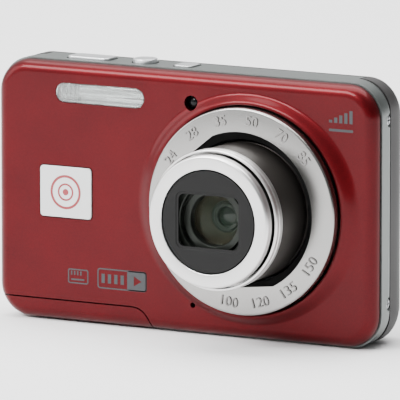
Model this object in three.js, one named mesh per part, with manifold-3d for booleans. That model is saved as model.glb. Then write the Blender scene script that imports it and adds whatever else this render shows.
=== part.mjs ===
// Compact digital camera with an extending zoom lens: shells, lens unit, controls and inner parts.
// Millimetres. +X to the right seen from the front, +Y towards the back, +Z up, base on z = 0.
import * as THREE from 'three';
import { mergeVertices } from 'three/addons/utils/BufferGeometryUtils.js';
import Module from 'manifold-3d';

const wasm = await Module();
wasm.setup();

// ---- driving dimensions ----
const bodyWidth = 91.5;
const bodyHeight = 56.5;
const cornerRadius = 7.5;
const frontY = -8; // flat front face
const rearY = 10.9; // flat back
const coverSeamY = -5.2; // red front cover meets the grey band
const bandRearY = 0.1; // back edge of the band on the sides
const deckRearY = 3.2; // back edge of the band's top and bottom decks
const deckHalfLength = bodyWidth / 2 - cornerRadius - 1.75;
const wall = 1.2;
const rearWall = 1.6;
const faceRound = 2.5; // rounding between the front face and its sides
const coverInset = 0.35; // the front cover is a little smaller than the band
const bandBevel = 0.75;
const seam = 0.3; // gap between pieces that rest on each other
const slip = 0.35; // gap round pieces that move

const left = -bodyWidth / 2;
const right = bodyWidth / 2;

// lens, from its front plate outwards; places in depth are for the lens run out
const plateRadius = 10.8;
const plateWindow = [14.2, 11.1];
const frontLensRadius = 5.3;
const noseWidth = 3.3; // nose ring, from the plate to its outside
const noseRadius = plateRadius + noseWidth;
const noseFrontY = -26.1;
const noseDepth = 2.1;
const innerBarrelRadius = noseRadius - 0.9;
const innerBarrelRearY = -10;
const barrelWall = 1.1;
const barrelRadius = innerBarrelRadius + 0.4 + barrelWall;
const barrelRearY = -8;
const rimRadius = barrelRadius + 0.3;
const rimFrontY = -23.57;
const cellRadius = 7.5; // tube that carries the rear lens group
const cellRearY = -13.3;
const sensorY = 3.4;

const lensX = right - 30.05;
const lensZ = 28.1;
const ringInner = rimRadius + 2.1;
const ringOuter = ringInner + 5;
const ringFrontY = -12;
const ringFlats = [[128, ringInner - 0.7], [276, ringInner - 1.2]]; // direction, distance from the axis
const swellFoot = ringOuter + 4.9;
const swellHeight = 1.4;

const flashCentre = [left + 25.6, bodyHeight - 6.7];
const flashSize = [21.6, 4.3];
const lampCentre = [lensX - 13.77, bodyHeight - 6.7];
const lampRadius = 1.6;
const micCentre = [lensX - 13.35, 6.47];
const micHoleRadius = 0.6;
const badgeCentre = [left + 17.35, 28.35];
const badgeSize = [12.95, 11.5];

const doorLeft = left - 0.25;
const doorHeight = 4.7; // height of the door's wrap up the front
const doorEndX = left + 33.25; // centre of the round end of the door
const doorEndRadius = 4.4;
const doorPinY = 4.4;
const doorPinZ = 1.05;
const doorKnuckle = 1;
const doorPin = 0.45;

const batterySize = [30.6, 6, 40];
const batteryLeft = left + 5.95;
const batteryFrontY = -6.1;
const bayFloorZ = 3.4;
const cardSize = [24, 2.1, 32];
const cardLeft = batteryLeft + 2.6;
const bayWall = 0.4;

const screenSize = [56, 44.6];
const screenCentre = [right - 33.55, 29];
const padCentre = [left + 15.55, 24.5];
const padOuter = 9;
const padInner = 4.3;
const keyRadius = 2.2;
const keyProud = 0.4;

// ---- finishes ----
const finish = (color, roughness, metalness) => new THREE.MeshStandardMaterial({ color, roughness, metalness });
const redPaint = finish(0x96242f, 0.35, 0.4);
const greyBand = finish(0x8d9190, 0.4, 0.6);
const darkShell = finish(0x3c3c3e, 0.55, 0.1);
const silver = finish(0xd4d3d1, 0.25, 0.9);
const blackPlastic = finish(0x1b1b1c, 0.5, 0);
const darkMetal = finish(0x3c3a38, 0.4, 0.5);
const clear = finish(0xdfe6ea, 0.1, 0);
const lensGlass = finish(0x2e4a40, 0.05, 0);
const boardGreen = finish(0x1d5b3a, 0.6, 0.1);
const steel = finish(0xa8abad, 0.35, 0.9);
const brass = finish(0xb89b55, 0.4, 0.8);
const paleGrey = finish(0xc9cbcc, 0.5, 0);
const batteryCase = finish(0x2b2f36, 0.6, 0);

// ---- solid helpers ----
function toSolid(geometry) {
  const bare = geometry.clone();
  bare.deleteAttribute('normal');
  bare.deleteAttribute('uv');
  const merged = mergeVertices(bare, 1e-4);
  const index = Array.from(merged.index.array);
  const kept = [];
  for (let i = 0; i < index.length; i += 3) {
    const [a, b, c] = index.slice(i, i + 3);
    if (a !== b && b !== c && c !== a) kept.push(a, b, c);
  }
  const vertProperties = new Float32Array(merged.attributes.position.array);
  const make = (triangles) =>
    new wasm.Manifold(new wasm.Mesh({ numProp: 3, vertProperties, triVerts: new Uint32Array(triangles) }));
  const solid = make(kept);
  if (solid.volume() > 0) return solid;
  for (let i = 0; i < kept.length; i += 3) [kept[i], kept[i + 1]] = [kept[i + 1], kept[i]];
  return make(kept);
}

function toMesh(solid, name, material) {
  const out = solid.getMesh();
  const geometry = new THREE.BufferGeometry();
  geometry.setAttribute('position', new THREE.BufferAttribute(new Float32Array(out.vertProperties), 3));
  geometry.setIndex(new THREE.BufferAttribute(new Uint32Array(out.triVerts), 1));
  geometry.computeVertexNormals();
  const mesh = new THREE.Mesh(geometry, material);
  mesh.name = name;
  return mesh;
}

function block(x, y, z) {
  const geometry = new THREE.BoxGeometry(x[1] - x[0], y[1] - y[0], z[1] - z[0]);
  geometry.translate((x[0] + x[1]) / 2, (y[0] + y[1]) / 2, (z[0] + z[1]) / 2);
  return toSolid(geometry);
}

// A rod between two stations along one axis; centre holds the other two coordinates in x, y, z order.
function rod(axis, radius, from, to, centre, sides = 16) {
  const geometry = new THREE.CylinderGeometry(radius, radius, to - from, sides);
  const middle = (from + to) / 2;
  if (axis === 'x') geometry.rotateZ(Math.PI / 2).translate(middle, centre[0], centre[1]);
  if (axis === 'y') geometry.translate(centre[0], middle, centre[1]);
  if (axis === 'z') geometry.rotateX(Math.PI / 2).translate(centre[0], centre[1], middle);
  return toSolid(geometry);
}

// A turned piece about the Y axis from [radius, y] points, closed on itself.
function turned(profile, sides = 32) {
  const points = [...profile, profile[0]].map(([radius, y]) => new THREE.Vector2(radius, y));
  return toSolid(new THREE.LatheGeometry(points, sides));
}

const tube = (inner, outer, from, to, sides) =>
  turned([[inner, from], [outer, from], [outer, to], [inner, to]], sides);

// A flat outline in x and z, pushed through from one y to another.
function slab(shape, from, to) {
  const geometry = new THREE.ExtrudeGeometry(shape, { depth: to - from, bevelEnabled: false, curveSegments: 4 });
  geometry.rotateX(Math.PI / 2).translate(0, to, 0);
  return toSolid(geometry);
}

function roundedShape(width, height, radius, cx = 0, cz = 0) {
  const r = Math.min(radius, width / 2 - 0.01, height / 2 - 0.01);
  const [x, z] = [width / 2 - r, height / 2 - r];
  const shape = new THREE.Shape();
  shape.absarc(cx + x, cz + z, r, 0, Math.PI / 2);
  shape.absarc(cx - x, cz + z, r, Math.PI / 2, Math.PI);
  shape.absarc(cx - x, cz - z, r, Math.PI, 1.5 * Math.PI);
  shape.absarc(cx + x, cz - z, r, 1.5 * Math.PI, 2 * Math.PI);
  return shape;
}

const roundedSlab = (size, radius, centre, from, to) =>
  slab(roundedShape(size[0], size[1], radius, centre[0], centre[1]), from, to);

// Camera outline at one depth, drawn in from the sides and from the top and bottom.
function outline(insetX, insetZ, steps = 4) {
  const [w, h] = [bodyWidth / 2 - insetX, bodyHeight / 2 - insetZ];
  const radius = cornerRadius - Math.min(Math.max(insetX, insetZ), 3);
  const centres = [[w - radius, h - radius, 0], [radius - w, h - radius, 1],
    [radius - w, radius - h, 2], [w - radius, radius - h, 3]];
  return centres.flatMap(([x, z, turn]) => Array.from({ length: steps + 1 }, (_, i) => {
    const angle = (turn + i / steps) * Math.PI / 2;
    return [x + radius * Math.cos(angle), bodyHeight / 2 + z + radius * Math.sin(angle)];
  }));
}

// Solid through a list of [y, insetX, insetZ] levels.
function bodyLoft(levels) {
  const rings = levels.map(([y, insetX, insetZ]) => outline(insetX, insetZ).map(([x, z]) => [x, y, z]));
  const count = rings[0].length;
  const positions = rings.flat(2);
  const index = [];
  for (let level = 0; level + 1 < rings.length; level += 1) {
    for (let i = 0; i < count; i += 1) {
      const [a, b] = [level * count + i, level * count + (i + 1) % count];
      index.push(a, b, a + count, b, b + count, a + count);
    }
  }
  const last = (rings.length - 1) * count;
  for (let i = 1; i + 1 < count; i += 1) {
    index.push(0, i + 1, i);
    index.push(last, last + i, last + i + 1);
  }
  const geometry = new THREE.BufferGeometry();
  geometry.setAttribute('position', new THREE.Float32BufferAttribute(positions, 3));
  geometry.setIndex(index);
  return toSolid(geometry);
}

// ---- body shapes shared by the shells and the door ----
function faceLevels(offset) {
  const r = faceRound - offset;
  const steps = 3;
  return Array.from({ length: steps + 1 }, (_, i) => {
    const angle = (i / steps) * Math.PI / 2;
    const inset = coverInset + offset + r * (1 - Math.sin(angle));
    return [frontY + offset + r * (1 - Math.cos(angle)), inset, inset];
  });
}
const coverOuterLevels = [...faceLevels(0), [coverSeamY, coverInset, coverInset]];
const coverInnerLevels = [...faceLevels(wall), [coverSeamY + 1, coverInset + wall, coverInset + wall]];
const bandLevels = [
  [coverSeamY + seam, 0, 0],
  [bandRearY - 1.9, 0, 0],
  [bandRearY, bandBevel, 0],
];
const rearDepth = rearY - deckRearY;
const rearOuterLevels = [
  [bandRearY + seam, bandBevel, 0],
  [deckRearY + 0.1 * rearDepth, 0.9, 0],
  [deckRearY + 0.42 * rearDepth, 1.6, 1.1],
  [deckRearY + 0.72 * rearDepth, 2.8, 2.6],
  [deckRearY + 0.92 * rearDepth, 3.9, 4],
  [rearY, 5, 5.2],
];
const shellInner = (levels, extra) => levels.map(([y, x, z]) => [y, x + extra, z + extra]);
const rearInnerLevels = [
  [bandRearY + seam - 1, bandBevel + wall, wall],
  [deckRearY + 0.1 * rearDepth, 0.9 + wall, wall],
  [deckRearY + 0.42 * rearDepth, 1.6 + wall, 1.1 + wall],
  [rearY - rearWall, 4.2, 4.4],
];

// The door's outline on the front: straight along its top, with a round right end.
function doorShape(grow) {
  const radius = doorEndRadius + grow;
  const shape = new THREE.Shape();
  shape.moveTo(doorLeft - grow, -1);
  shape.lineTo(doorEndX + radius, -1);
  shape.absarc(doorEndX, 0, radius, 0, Math.PI / 2);
  shape.lineTo(doorLeft - grow, doorHeight + grow);
  shape.closePath();
  return shape;
}
const doorCut = () => slab(doorShape(seam), frontY - 1, doorPinY + doorKnuckle + seam);

// ---- screws ----
const screwPlaces = [[1, 48.4], [1, 9.4], [-1, 48.4], [-1, 9.4]];
const screwY = -1.15;
const screwHead = 1.25;
const screwShank = 0.75;
const bossInner = bodyWidth / 2 - 2.6;
const screwSeat = bodyWidth / 2 - 1.4;
const tripodCentre = [lensX - 7.7, -0.85];
const tripodRadius = 3.6;
const tripodBore = 2.55;

// ---- top controls ----
const deckTop = bodyHeight;
const deckUnder = bodyHeight - 1.3;
const topKeys = {
  zoom_rocker: { x: left + 19.75, size: [10, 5], radius: 1.2, proud: 0.5, under: 0.6 },
  shutter_button: { x: left + 32.65, size: [5.2, 5.2], radius: 2.55, proud: 0.9, under: 0.3 },
  power_button: { x: left + 42.75, size: [4.4, 4.8], radius: 1, proud: 0.3, under: 0.3 },
};
const topKeyY = -0.6;

// ---- back controls ----
const keyPlaces = {
  video_button: [padCentre[0], padCentre[1] + 21.5],
  menu_button: [padCentre[0] - 6.8, padCentre[1] + 13.7],
  play_button: [padCentre[0] + 6.8, padCentre[1] + 13.7],
  delete_button: [padCentre[0] + 6.8, padCentre[1] - 13.7],
  display_button: [padCentre[0] - 6.8, padCentre[1] - 13.7],
};

// ---- shells ----
function frontCover() {
  const swell = turned([
    [0.001, frontY + 0.6], [swellFoot, frontY + 0.05], [swellFoot - 1.6, frontY - 0.25],
    [swellFoot - 3.2, frontY - 0.75], [ringOuter + 0.6, frontY - swellHeight],
    [0.001, frontY - swellHeight],
  ]).translate([lensX, 0, lensZ]);
  const opening = rod('y', ringOuter + seam, frontY - 5, coverSeamY + 2, [lensX, lensZ], 48);
  const flash = roundedSlab(flashSize, flashSize[1] / 2, flashCentre, frontY - 1, frontY + 3);
  const lamp = rod('y', lampRadius, frontY - 1, frontY + 3, lampCentre);
  const mic = rod('y', micHoleRadius, frontY - 1, frontY + 3, micCentre, 12);
  const badge = roundedSlab(badgeSize, 1, badgeCentre, frontY - 1, frontY + 0.5);
  const skin = swell.intersect(block([left + 2, right - 2], [-20, 0], [1.2, bodyHeight - 1.2]));
  return bodyLoft(coverOuterLevels).subtract(bodyLoft(coverInnerLevels))
    .add(skin.subtract(bodyLoft(coverInnerLevels)))
    .subtract(opening).subtract(flash).subtract(lamp).subtract(mic).subtract(badge).subtract(doorCut());
}

function sideBoss([side, z]) {
  const x = [bossInner * side, (bodyWidth / 2 - 0.8) * side].sort((a, b) => a - b);
  return block(x, [screwY - 2, bandRearY - 0.1], [z - 2, z + 2]);
}

function sideBore([side, z]) {
  const recess = [screwSeat * side, (bodyWidth / 2 + 1) * side].sort((a, b) => a - b);
  const hole = [(bossInner - 1) * side, (screwSeat + 0.2) * side].sort((a, b) => a - b);
  return rod('x', screwHead + seam, recess[0], recess[1], [screwY, z])
    .add(rod('x', screwShank + seam, hole[0], hole[1], [screwY, z], 16));
}

function midBand() {
  const bandFront = coverSeamY + seam;
  const inner = bodyLoft([[bandFront - 1, wall, wall], [bandRearY + 1, wall, wall]]);
  let band = bodyLoft(bandLevels).subtract(inner);
  for (const z of [[deckUnder, deckTop], [0, deckTop - deckUnder]]) {
    band = band.add(block([-deckHalfLength, deckHalfLength], [bandFront, deckRearY], z));
  }
  for (const place of screwPlaces) band = band.add(sideBoss(place)).subtract(sideBore(place));
  for (const key of Object.values(topKeys)) {
    band = band.subtract(keyHole(key));
  }
  band = band.subtract(rod('z', tripodRadius + 0.2, -1, 3, tripodCentre));
  return band.subtract(doorCut());
}

function roundedPost(size, radius, x, y, from, to) {
  const geometry = new THREE.ExtrudeGeometry(roundedShape(size[0], size[1], radius), {
    depth: to - from, bevelEnabled: false, curveSegments: 3,
  });
  geometry.translate(x, y, from);
  return toSolid(geometry);
}

const keyHole = ({ x, size, radius }) => roundedPost(
  [size[0] + 2 * slip, size[1] + 2 * slip], radius + slip, x, topKeyY, deckUnder - 1, deckTop + 1);

const usbZ = [24, 31.6];
const usbY = [1.4, 4.2];
const usbDoorZ = [usbZ[0] - 2, usbZ[1] + 2];
const usbDoorY = [bandRearY + 0.8, usbY[1] + 0.6];
const usbHingeX = left + bandBevel + 0.65;
const usbHingeY = usbDoorY[0] + 0.6;
const lugY = 3.2;
const lugZ = [41.8, 49.2];
const lugX = left + 1.6;

function rearCover() {
  let cover = bodyLoft(rearOuterLevels).subtract(bodyLoft(rearInnerLevels));
  for (const z of [[deckUnder - seam, deckTop + 1], [-1, deckTop - deckUnder + seam]]) {
    cover = cover.subtract(block([-deckHalfLength - seam, deckHalfLength + seam], [-9, deckRearY + seam], z));
  }
  cover = cover.add(block([left + 1.4, left + 3], [1, 5.8], [lugZ[0] - 1.2, lugZ[1] + 1.2]));
  cover = cover.subtract(block([left - 1, left + 2.5], [1.6, 5], [lugZ[0] + 0.8, lugZ[1] - 0.8]));
  cover = cover.subtract(rod('z', 0.9, lugZ[0] - 0.3, lugZ[1] + 0.3, [lugX, lugY], 16));
  const pocket = [screenSize[0] + 2 * seam, screenSize[1] + 2 * seam];
  cover = cover.subtract(roundedSlab(pocket, 2, screenCentre, rearY - 1, rearY + 1));
  cover = cover.subtract(roundedSlab([pocket[0] - 3, pocket[1] - 3], 1, screenCentre, rearY - 4, rearY + 1));
  cover = cover.subtract(rod('y', padOuter + slip, rearY - 4, rearY + 1, padCentre, 32));
  for (const place of Object.values(keyPlaces)) {
    cover = cover.subtract(rod('y', keyRadius + seam, rearY - 4, rearY + 1, place));
  }
  cover = cover.subtract(block([left - 5, left + 3], [usbDoorY[0] - seam, usbDoorY[1] + seam],
    [usbDoorZ[0] - seam, usbDoorZ[1] + seam]));
  return cover.subtract(doorCut());
}

function usbCover() {
  const skin = bodyLoft(rearOuterLevels).subtract(bodyLoft(shellInner(rearOuterLevels, 1)));
  const piece = skin.intersect(block([left - 5, left + 5], [usbHingeY, usbDoorY[1]], usbDoorZ));
  return piece.add(rod('z', 0.55, usbDoorZ[0], usbDoorZ[1], [usbHingeX, usbHingeY], 16));
}

function batteryDoor() {
  const outer = bodyLoft(coverOuterLevels)
    .add(bodyLoft([[coverSeamY - 0.01, coverInset, coverInset], [bandRearY, coverInset, 0]]))
    .add(bodyLoft([[bandRearY - 0.01, bandBevel, 0], ...rearOuterLevels.slice(1)]));
  const hollow = bodyLoft([...coverInnerLevels.slice(0, -1), [deckRearY, bandBevel + wall, wall],
    [deckRearY + 2.4, 1.6 + wall, wall]]);
  const region = slab(doorShape(0), frontY - 1, doorPinY);
  const knuckle = rod('x', doorKnuckle, left + 6, doorEndX, [doorPinY, doorPinZ]);
  const bore = rod('x', doorPin + 0.06, left - 5, doorEndX + 5, [doorPinY, doorPinZ]);
  const slotX = [latchX[0] - latchTravel - slip, latchX[1] + slip];
  const slot = block(slotX, [latchY[0] - slip, latchY[1] + slip], [-1, 3]);
  return outer.subtract(hollow).intersect(region).add(knuckle).subtract(bore).subtract(slot);
}

// ---- battery door latch ----
const latchX = [left + 19.75, left + 25.75];
const latchY = [-2.9, -0.4];
const latchTravel = 2.4;

function doorLatch() {
  const flangeZ = [wall + seam, wall + seam + 0.6];
  return block(latchX, latchY, [0.15, flangeZ[1]])
    .add(block([latchX[0] - 1, latchX[1] + 1], [latchY[0] - 1.2, latchY[1] + 1.2], flangeZ));
}

// ---- lens unit, about the lens axis ----
function ringHoleShape() {
  const sides = 48;
  const points = Array.from({ length: sides }, (_, i) => {
    const angle = (i / sides) * 2 * Math.PI;
    const limits = ringFlats.map(([direction, distance]) => {
      const along = Math.cos(angle - THREE.MathUtils.degToRad(direction));
      return along > 0.3 ? distance / along : ringInner;
    });
    const radius = Math.min(ringInner, ...limits);
    return new THREE.Vector2(radius * Math.cos(angle), radius * Math.sin(angle));
  });
  return new THREE.Shape(points);
}

function trimRing() {
  const body = turned([
    [0.001, ringFrontY], [ringOuter - 0.4, ringFrontY], [ringOuter, ringFrontY + 0.4],
    [ringOuter, frontY + 1], [0.001, frontY + 1],
  ], 48);
  return body.subtract(slab(ringHoleShape(), ringFrontY - 1, frontY + 2));
}

const camInner = barrelRadius + 0.5;
const camOuter = camInner + 0.9;
const fixedInner = camOuter + 0.35;
const fixedOuter = fixedInner + 1.2;
const gearModule = 0.5;
const camTeeth = Math.round((camOuter + 0.65) * 2 / gearModule);
const pinionTeeth = 10;
const camPitch = gearModule * camTeeth / 2;
const pinionPitch = gearModule * pinionTeeth / 2;
const gearY = [2.7, 3.9];
const gearHousing = camPitch + gearModule + 0.6;
const pinionAngle = THREE.MathUtils.degToRad(225);
const pinionCentre = [Math.cos(pinionAngle), Math.sin(pinionAngle)].map((v) => v * (camPitch + pinionPitch + 0.12));
const basePlateY = [4.4, 5.4];
const basePlateHalf = [gearHousing + 3.25, gearHousing + 3.15];

// A gear outline with cut teeth from number first to number last, plain at its root radius elsewhere.
const sectorTeeth = Math.ceil(camTeeth * 0.37);
const camPhase = pinionAngle + Math.PI / camTeeth - 3 * 2 * Math.PI / camTeeth;

function gearShape(teeth, pitchRadius, phase, first = 0, last = teeth - 1) {
  const points = [];
  const step = (2 * Math.PI) / teeth;
  const tooth = [[-0.36, -0.58], [-0.13, 0.45], [0.13, 0.45], [0.36, -0.58]];
  for (let i = 0; i < teeth; i += 1) {
    const mid = phase + i * step;
    const profile = i >= first && i <= last ? tooth : [[0, -0.58]];
    for (const [share, height] of profile) {
      const radius = pitchRadius + height * 2 * gearModule * 0.9;
      const angle = mid + share * step;
      points.push(new THREE.Vector2(radius * Math.cos(angle), radius * Math.sin(angle)));
    }
  }
  return new THREE.Shape(points);
}

function lensHousing() {
  const frontEnd = frontY + 2.1;
  const barrel = turned([
    [fixedInner, frontEnd], [fixedOuter, frontEnd], [fixedOuter, gearY[0] - 1.4], [gearHousing + 1.1, gearY[0] - 1.4],
    [gearHousing + 1.1, basePlateY[0] + 0.2], [gearHousing, basePlateY[0] + 0.2], [gearHousing, gearY[0] - 0.4],
    [fixedInner, gearY[0] - 0.4],
  ]);
  const plate = block([-basePlateHalf[0], basePlateHalf[0]], basePlateY, [-basePlateHalf[1], basePlateHalf[1]]);
  const window = rod('y', pinionPitch + 1.3, gearY[0] - 2, basePlateY[0], pinionCentre, 16);
  return barrel.add(plate).subtract(window).subtract(block([-7, 7], [0, 9], [-6, 6]));
}

function camRing() {
  const sleeve = tube(camInner, camOuter, frontY + 2.6, gearY[1]);
  const bore = rod('y', camInner, -9, 9, [0, 0], 32);
  const teeth = slab(gearShape(camTeeth, camPitch, camPhase, 0, sectorTeeth), gearY[0], gearY[1]);
  return sleeve.add(teeth.subtract(bore));
}

function zoomGear() {
  const phase = pinionAngle + Math.PI;
  const shaft = rod('y', 0.7, gearY[0] - 2.4, gearY[1] + 0.2, [0, 0], 16);
  return slab(gearShape(pinionTeeth, pinionPitch, phase), gearY[0] - 0.2, gearY[1] + 0.1).add(shaft);
}

const dustSeal = () => tube(barrelRadius + 0.25, fixedOuter - 0.2, frontY + 1.3, frontY + 1.8);

function middleBarrel() {
  const inner = barrelRadius - barrelWall;
  return turned([
    [inner, rimFrontY + noseDepth + 0.4], [noseRadius + slip, rimFrontY + noseDepth + 0.4],
    [noseRadius + slip, rimFrontY], [rimRadius - 0.15, rimFrontY], [rimRadius, rimFrontY + 0.25],
    [rimRadius, rimFrontY + 2.8], [barrelRadius, rimFrontY + 2.8], [barrelRadius, barrelRearY],
    [inner, barrelRearY],
  ]);
}

const plateY = noseFrontY + 0.13;
const bladeY = [plateY + 0.9, plateY + 1.4];
const flangeY = plateY + 2.7;

function noseRing() {
  return turned([
    [plateRadius + seam, noseFrontY + 0.3], [plateRadius + 0.6, noseFrontY], [noseRadius - 0.6, noseFrontY],
    [noseRadius, noseFrontY + 0.6], [noseRadius, noseFrontY + noseDepth], [innerBarrelRadius - 0.7, noseFrontY + noseDepth],
    [innerBarrelRadius - 0.7, plateY + 0.7], [plateRadius + seam, plateY + 0.7],
  ]);
}

function lensPlate() {
  const disc = rod('y', plateRadius, plateY, plateY + 0.6, [0, 0], 32);
  return disc.subtract(roundedSlab(plateWindow, 1.3, [0, 0], plateY - 1, plateY + 2));
}

const innerBarrel = () =>
  tube(innerBarrelRadius - 1, innerBarrelRadius, noseFrontY + noseDepth + seam, innerBarrelRearY);

const bladeHeight = 5.6;

function barrierBlade(side) {
  const [low, high] = [plateWindow[1] / 2 + 0.15, plateWindow[1] / 2 + 0.15 + bladeHeight];
  const half = plateWindow[0] / 2 + 0.5;
  const shape = new THREE.Shape([
    [-half, low * side], [half, low * side], [half, (high - 2.2) * side],
    [half - 3.2, high * side], [3.2 - half, high * side], [-half, (high - 2.2) * side],
  ].map(([x, z]) => new THREE.Vector2(x, z)));
  return slab(shape, bladeY[0], bladeY[1]);
}

function lensCell() {
  const frontSeat = flangeY + 2.2;
  return turned([
    [frontLensRadius + 0.3, flangeY], [innerBarrelRadius - 1.35, flangeY],
    [innerBarrelRadius - 1.35, flangeY + 1], [cellRadius, flangeY + 2.2],
    [cellRadius, cellRearY], [cellRadius - 1.2, cellRearY],
    [cellRadius - 1.2, cellRearY - 4.4], [cellRadius - 2, cellRearY - 4.6],
    [frontLensRadius - 0.9, frontSeat + 0.3], [frontLensRadius + 0.3, frontSeat + 0.3],
  ]);
}

function lensElement(radius, backY, edge, bulge) {
  const steps = 3;
  const face = Array.from({ length: steps + 1 }, (_, i) => {
    const share = i / steps;
    return new THREE.Vector2(Math.max(radius * share, 0), backY - edge - bulge * (1 - share * share));
  });
  const points = [new THREE.Vector2(0, backY), new THREE.Vector2(radius, backY), ...face.reverse()];
  return toSolid(new THREE.LatheGeometry(points, 24));
}

const focusY = [-6, -4.2];
const railReach = innerBarrelRadius - 3.5;
const railPlaces = [[railReach, 0], [-railReach, 0]];
const railRadius = 0.6;

function focusCarriage() {
  let carriage = turned([
    [3.8, focusY[0]], [innerBarrelRadius - 1.8, focusY[0]], [innerBarrelRadius - 1.8, focusY[0] + 1],
    [6.4, focusY[1]], [3.8, focusY[1]],
  ], 24);
  for (const place of railPlaces) {
    carriage = carriage.add(rod('y', 1.4, focusY[0], focusY[1], place, 12));
    carriage = carriage.subtract(rod('y', railRadius + 0.08, -20, 9, place, 12));
  }
  return carriage;
}

// ---- assembly ----
const camera = new THREE.Group();
const add = (parent, solid, name, material) => {
  const mesh = toMesh(solid, name, material);
  parent.add(mesh);
  return mesh;
};

function addShells() {
  add(camera, frontCover(), 'front_cover', redPaint);
  add(camera, midBand(), 'mid_band', greyBand);
  add(camera, rearCover(), 'rear_cover', darkShell);
  add(camera, batteryDoor(), 'battery_door', redPaint);
  add(camera, rod('x', doorPin, left + 5, doorEndX + 1, [doorPinY, doorPinZ], 16), 'door_hinge_pin', steel);
  add(camera, doorLatch(), 'door_latch', blackPlastic);
  add(camera, usbCover(), 'usb_cover', darkShell);
  add(camera, rod('z', 0.6, lugZ[0], lugZ[1], [lugX, lugY], 16), 'strap_bar', steel);
  const badge = [badgeSize[0] - 0.5, badgeSize[1] - 0.5];
  add(camera, roundedSlab(badge, 0.8, badgeCentre, frontY - 0.25, frontY + 0.2), 'badge_plate', silver);
}

function addScrews() {
  screwPlaces.forEach(([side, z], i) => {
    const screw = rod('z', screwHead, 0.2, 0.9, [0, 0], 12).add(rod('z', screwShank, -0.9, 0.3, [0, 0], 8))
      .subtract(block([-0.8, 0.8], [-0.15, 0.15], [0.6, 2])).subtract(block([-0.15, 0.15], [-0.8, 0.8], [0.6, 2]));
    const mesh = add(camera, screw, `side_screw_${i + 1}`, steel);
    mesh.position.set(screwSeat * side, screwY, z);
    mesh.rotation.y = side * Math.PI / 2;
  });
  const bush = rod('z', tripodRadius, 0.15, 6.4, tripodCentre, 32).subtract(rod('z', tripodBore, 0, 5.2, tripodCentre));
  add(camera, bush, 'tripod_bush', brass);
}

function addLens() {
  const lens = new THREE.Group();
  lens.position.set(lensX, 0, lensZ);
  camera.add(lens);
  add(lens, trimRing(), 'lens_trim_ring', silver);
  add(lens, lensHousing(), 'lens_housing', blackPlastic);
  add(lens, dustSeal(), 'barrel_seal', blackPlastic);
  add(lens, camRing(), 'cam_ring', darkMetal);
  add(lens, middleBarrel(), 'middle_barrel', darkMetal);
  add(lens, innerBarrel(), 'inner_barrel', darkMetal);
  add(lens, noseRing(), 'nose_ring', silver);
  add(lens, lensPlate(), 'lens_plate', blackPlastic);
  add(lens, barrierBlade(1), 'barrier_blade_upper', blackPlastic);
  add(lens, barrierBlade(-1), 'barrier_blade_lower', blackPlastic);
  add(lens, lensCell(), 'lens_cell', darkMetal);
  add(lens, lensElement(frontLensRadius, flangeY + 2.2, 1.2, 0.9), 'front_lens', lensGlass);
  const shutter = tube(2, cellRadius - 1.5, cellRearY - 4, cellRearY - 3.4, 32);
  add(lens, shutter, 'shutter_unit', blackPlastic);
  add(lens, lensElement(cellRadius - 1.6, cellRearY - 0.4, 1.4, 0.8), 'rear_lens', lensGlass);
  add(lens, focusCarriage(), 'focus_carriage', blackPlastic);
  add(lens, lensElement(3.5, focusY[1] - 0.2, 0.8, 0.4), 'focus_lens', lensGlass);
  railPlaces.forEach((place, i) => {
    add(lens, rod('y', railRadius, -7, basePlateY[0] - seam, place, 16), `focus_rail_${i + 1}`, steel);
  });
  const gear = add(lens, zoomGear(), 'zoom_gear', brass);
  gear.position.set(pinionCentre[0], 0, pinionCentre[1]);
  const motorCentre = pinionCentre.map((v) => v * 1.25);
  const motor = rod('y', 3.9, -6, gearY[0] - 3.2, motorCentre, 24);
  add(lens, motor, 'zoom_motor', steel);
  const sensor = roundedSlab([9, 7.6], 0.6, [0, 0], sensorY, basePlateY[1] + 0.5)
    .add(roundedSlab([22, 18], 1, [0, 0], basePlateY[1] + 0.3, basePlateY[1] + 0.9));
  add(lens, sensor, 'image_sensor', boardGreen);
}

function addFlash() {
  const [x, z] = flashCentre;
  const windowSize = flashSize.map((v) => v - 2 * 0.2);
  add(camera, roundedSlab(windowSize, windowSize[1] / 2, flashCentre, frontY, frontY + 1.1), 'flash_window', clear);
  const half = [flashSize[0] / 2 - 0.4, 2.6];
  const trough = rod('x', 2.1, x - half[0] + 0.5, x + half[0] - 0.5, [-4, z])
    .add(block([x - half[0] + 0.5, x + half[0] - 0.5], [-9, -4], [z - 2.05, z + 2.05]));
  const reflector = block([x - half[0], x + half[0]], [frontY + 1.5, -1.4], [z - half[1], z + half[1]]);
  add(camera, reflector.subtract(trough), 'flash_reflector', silver);
  add(camera, rod('x', 1, x - 9, x + 9, [-4, z], 16), 'flash_tube', clear);
  add(camera, rod('z', 3.2, 12, 44, [right - 5.45, -0.8]), 'flash_capacitor', batteryCase);
  add(camera, rod('y', lampRadius - 0.2, frontY + 0.3, frontY + 2.4, lampCentre, 20), 'assist_lamp', clear);
}

function topKey({ x, size, radius, proud, under }) {
  const flangeZ = [deckUnder - under - 0.9, deckUnder - under];
  return roundedPost(size, radius, x, topKeyY, flangeZ[0], deckTop + proud)
    .add(roundedPost([size[0] + 1.4, size[1] + 1.4], radius + 0.4, x, topKeyY, flangeZ[0], flangeZ[1]));
}

function addTopControls() {
  for (const [name, key] of Object.entries(topKeys)) add(camera, topKey(key), name, silver);
}

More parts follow.
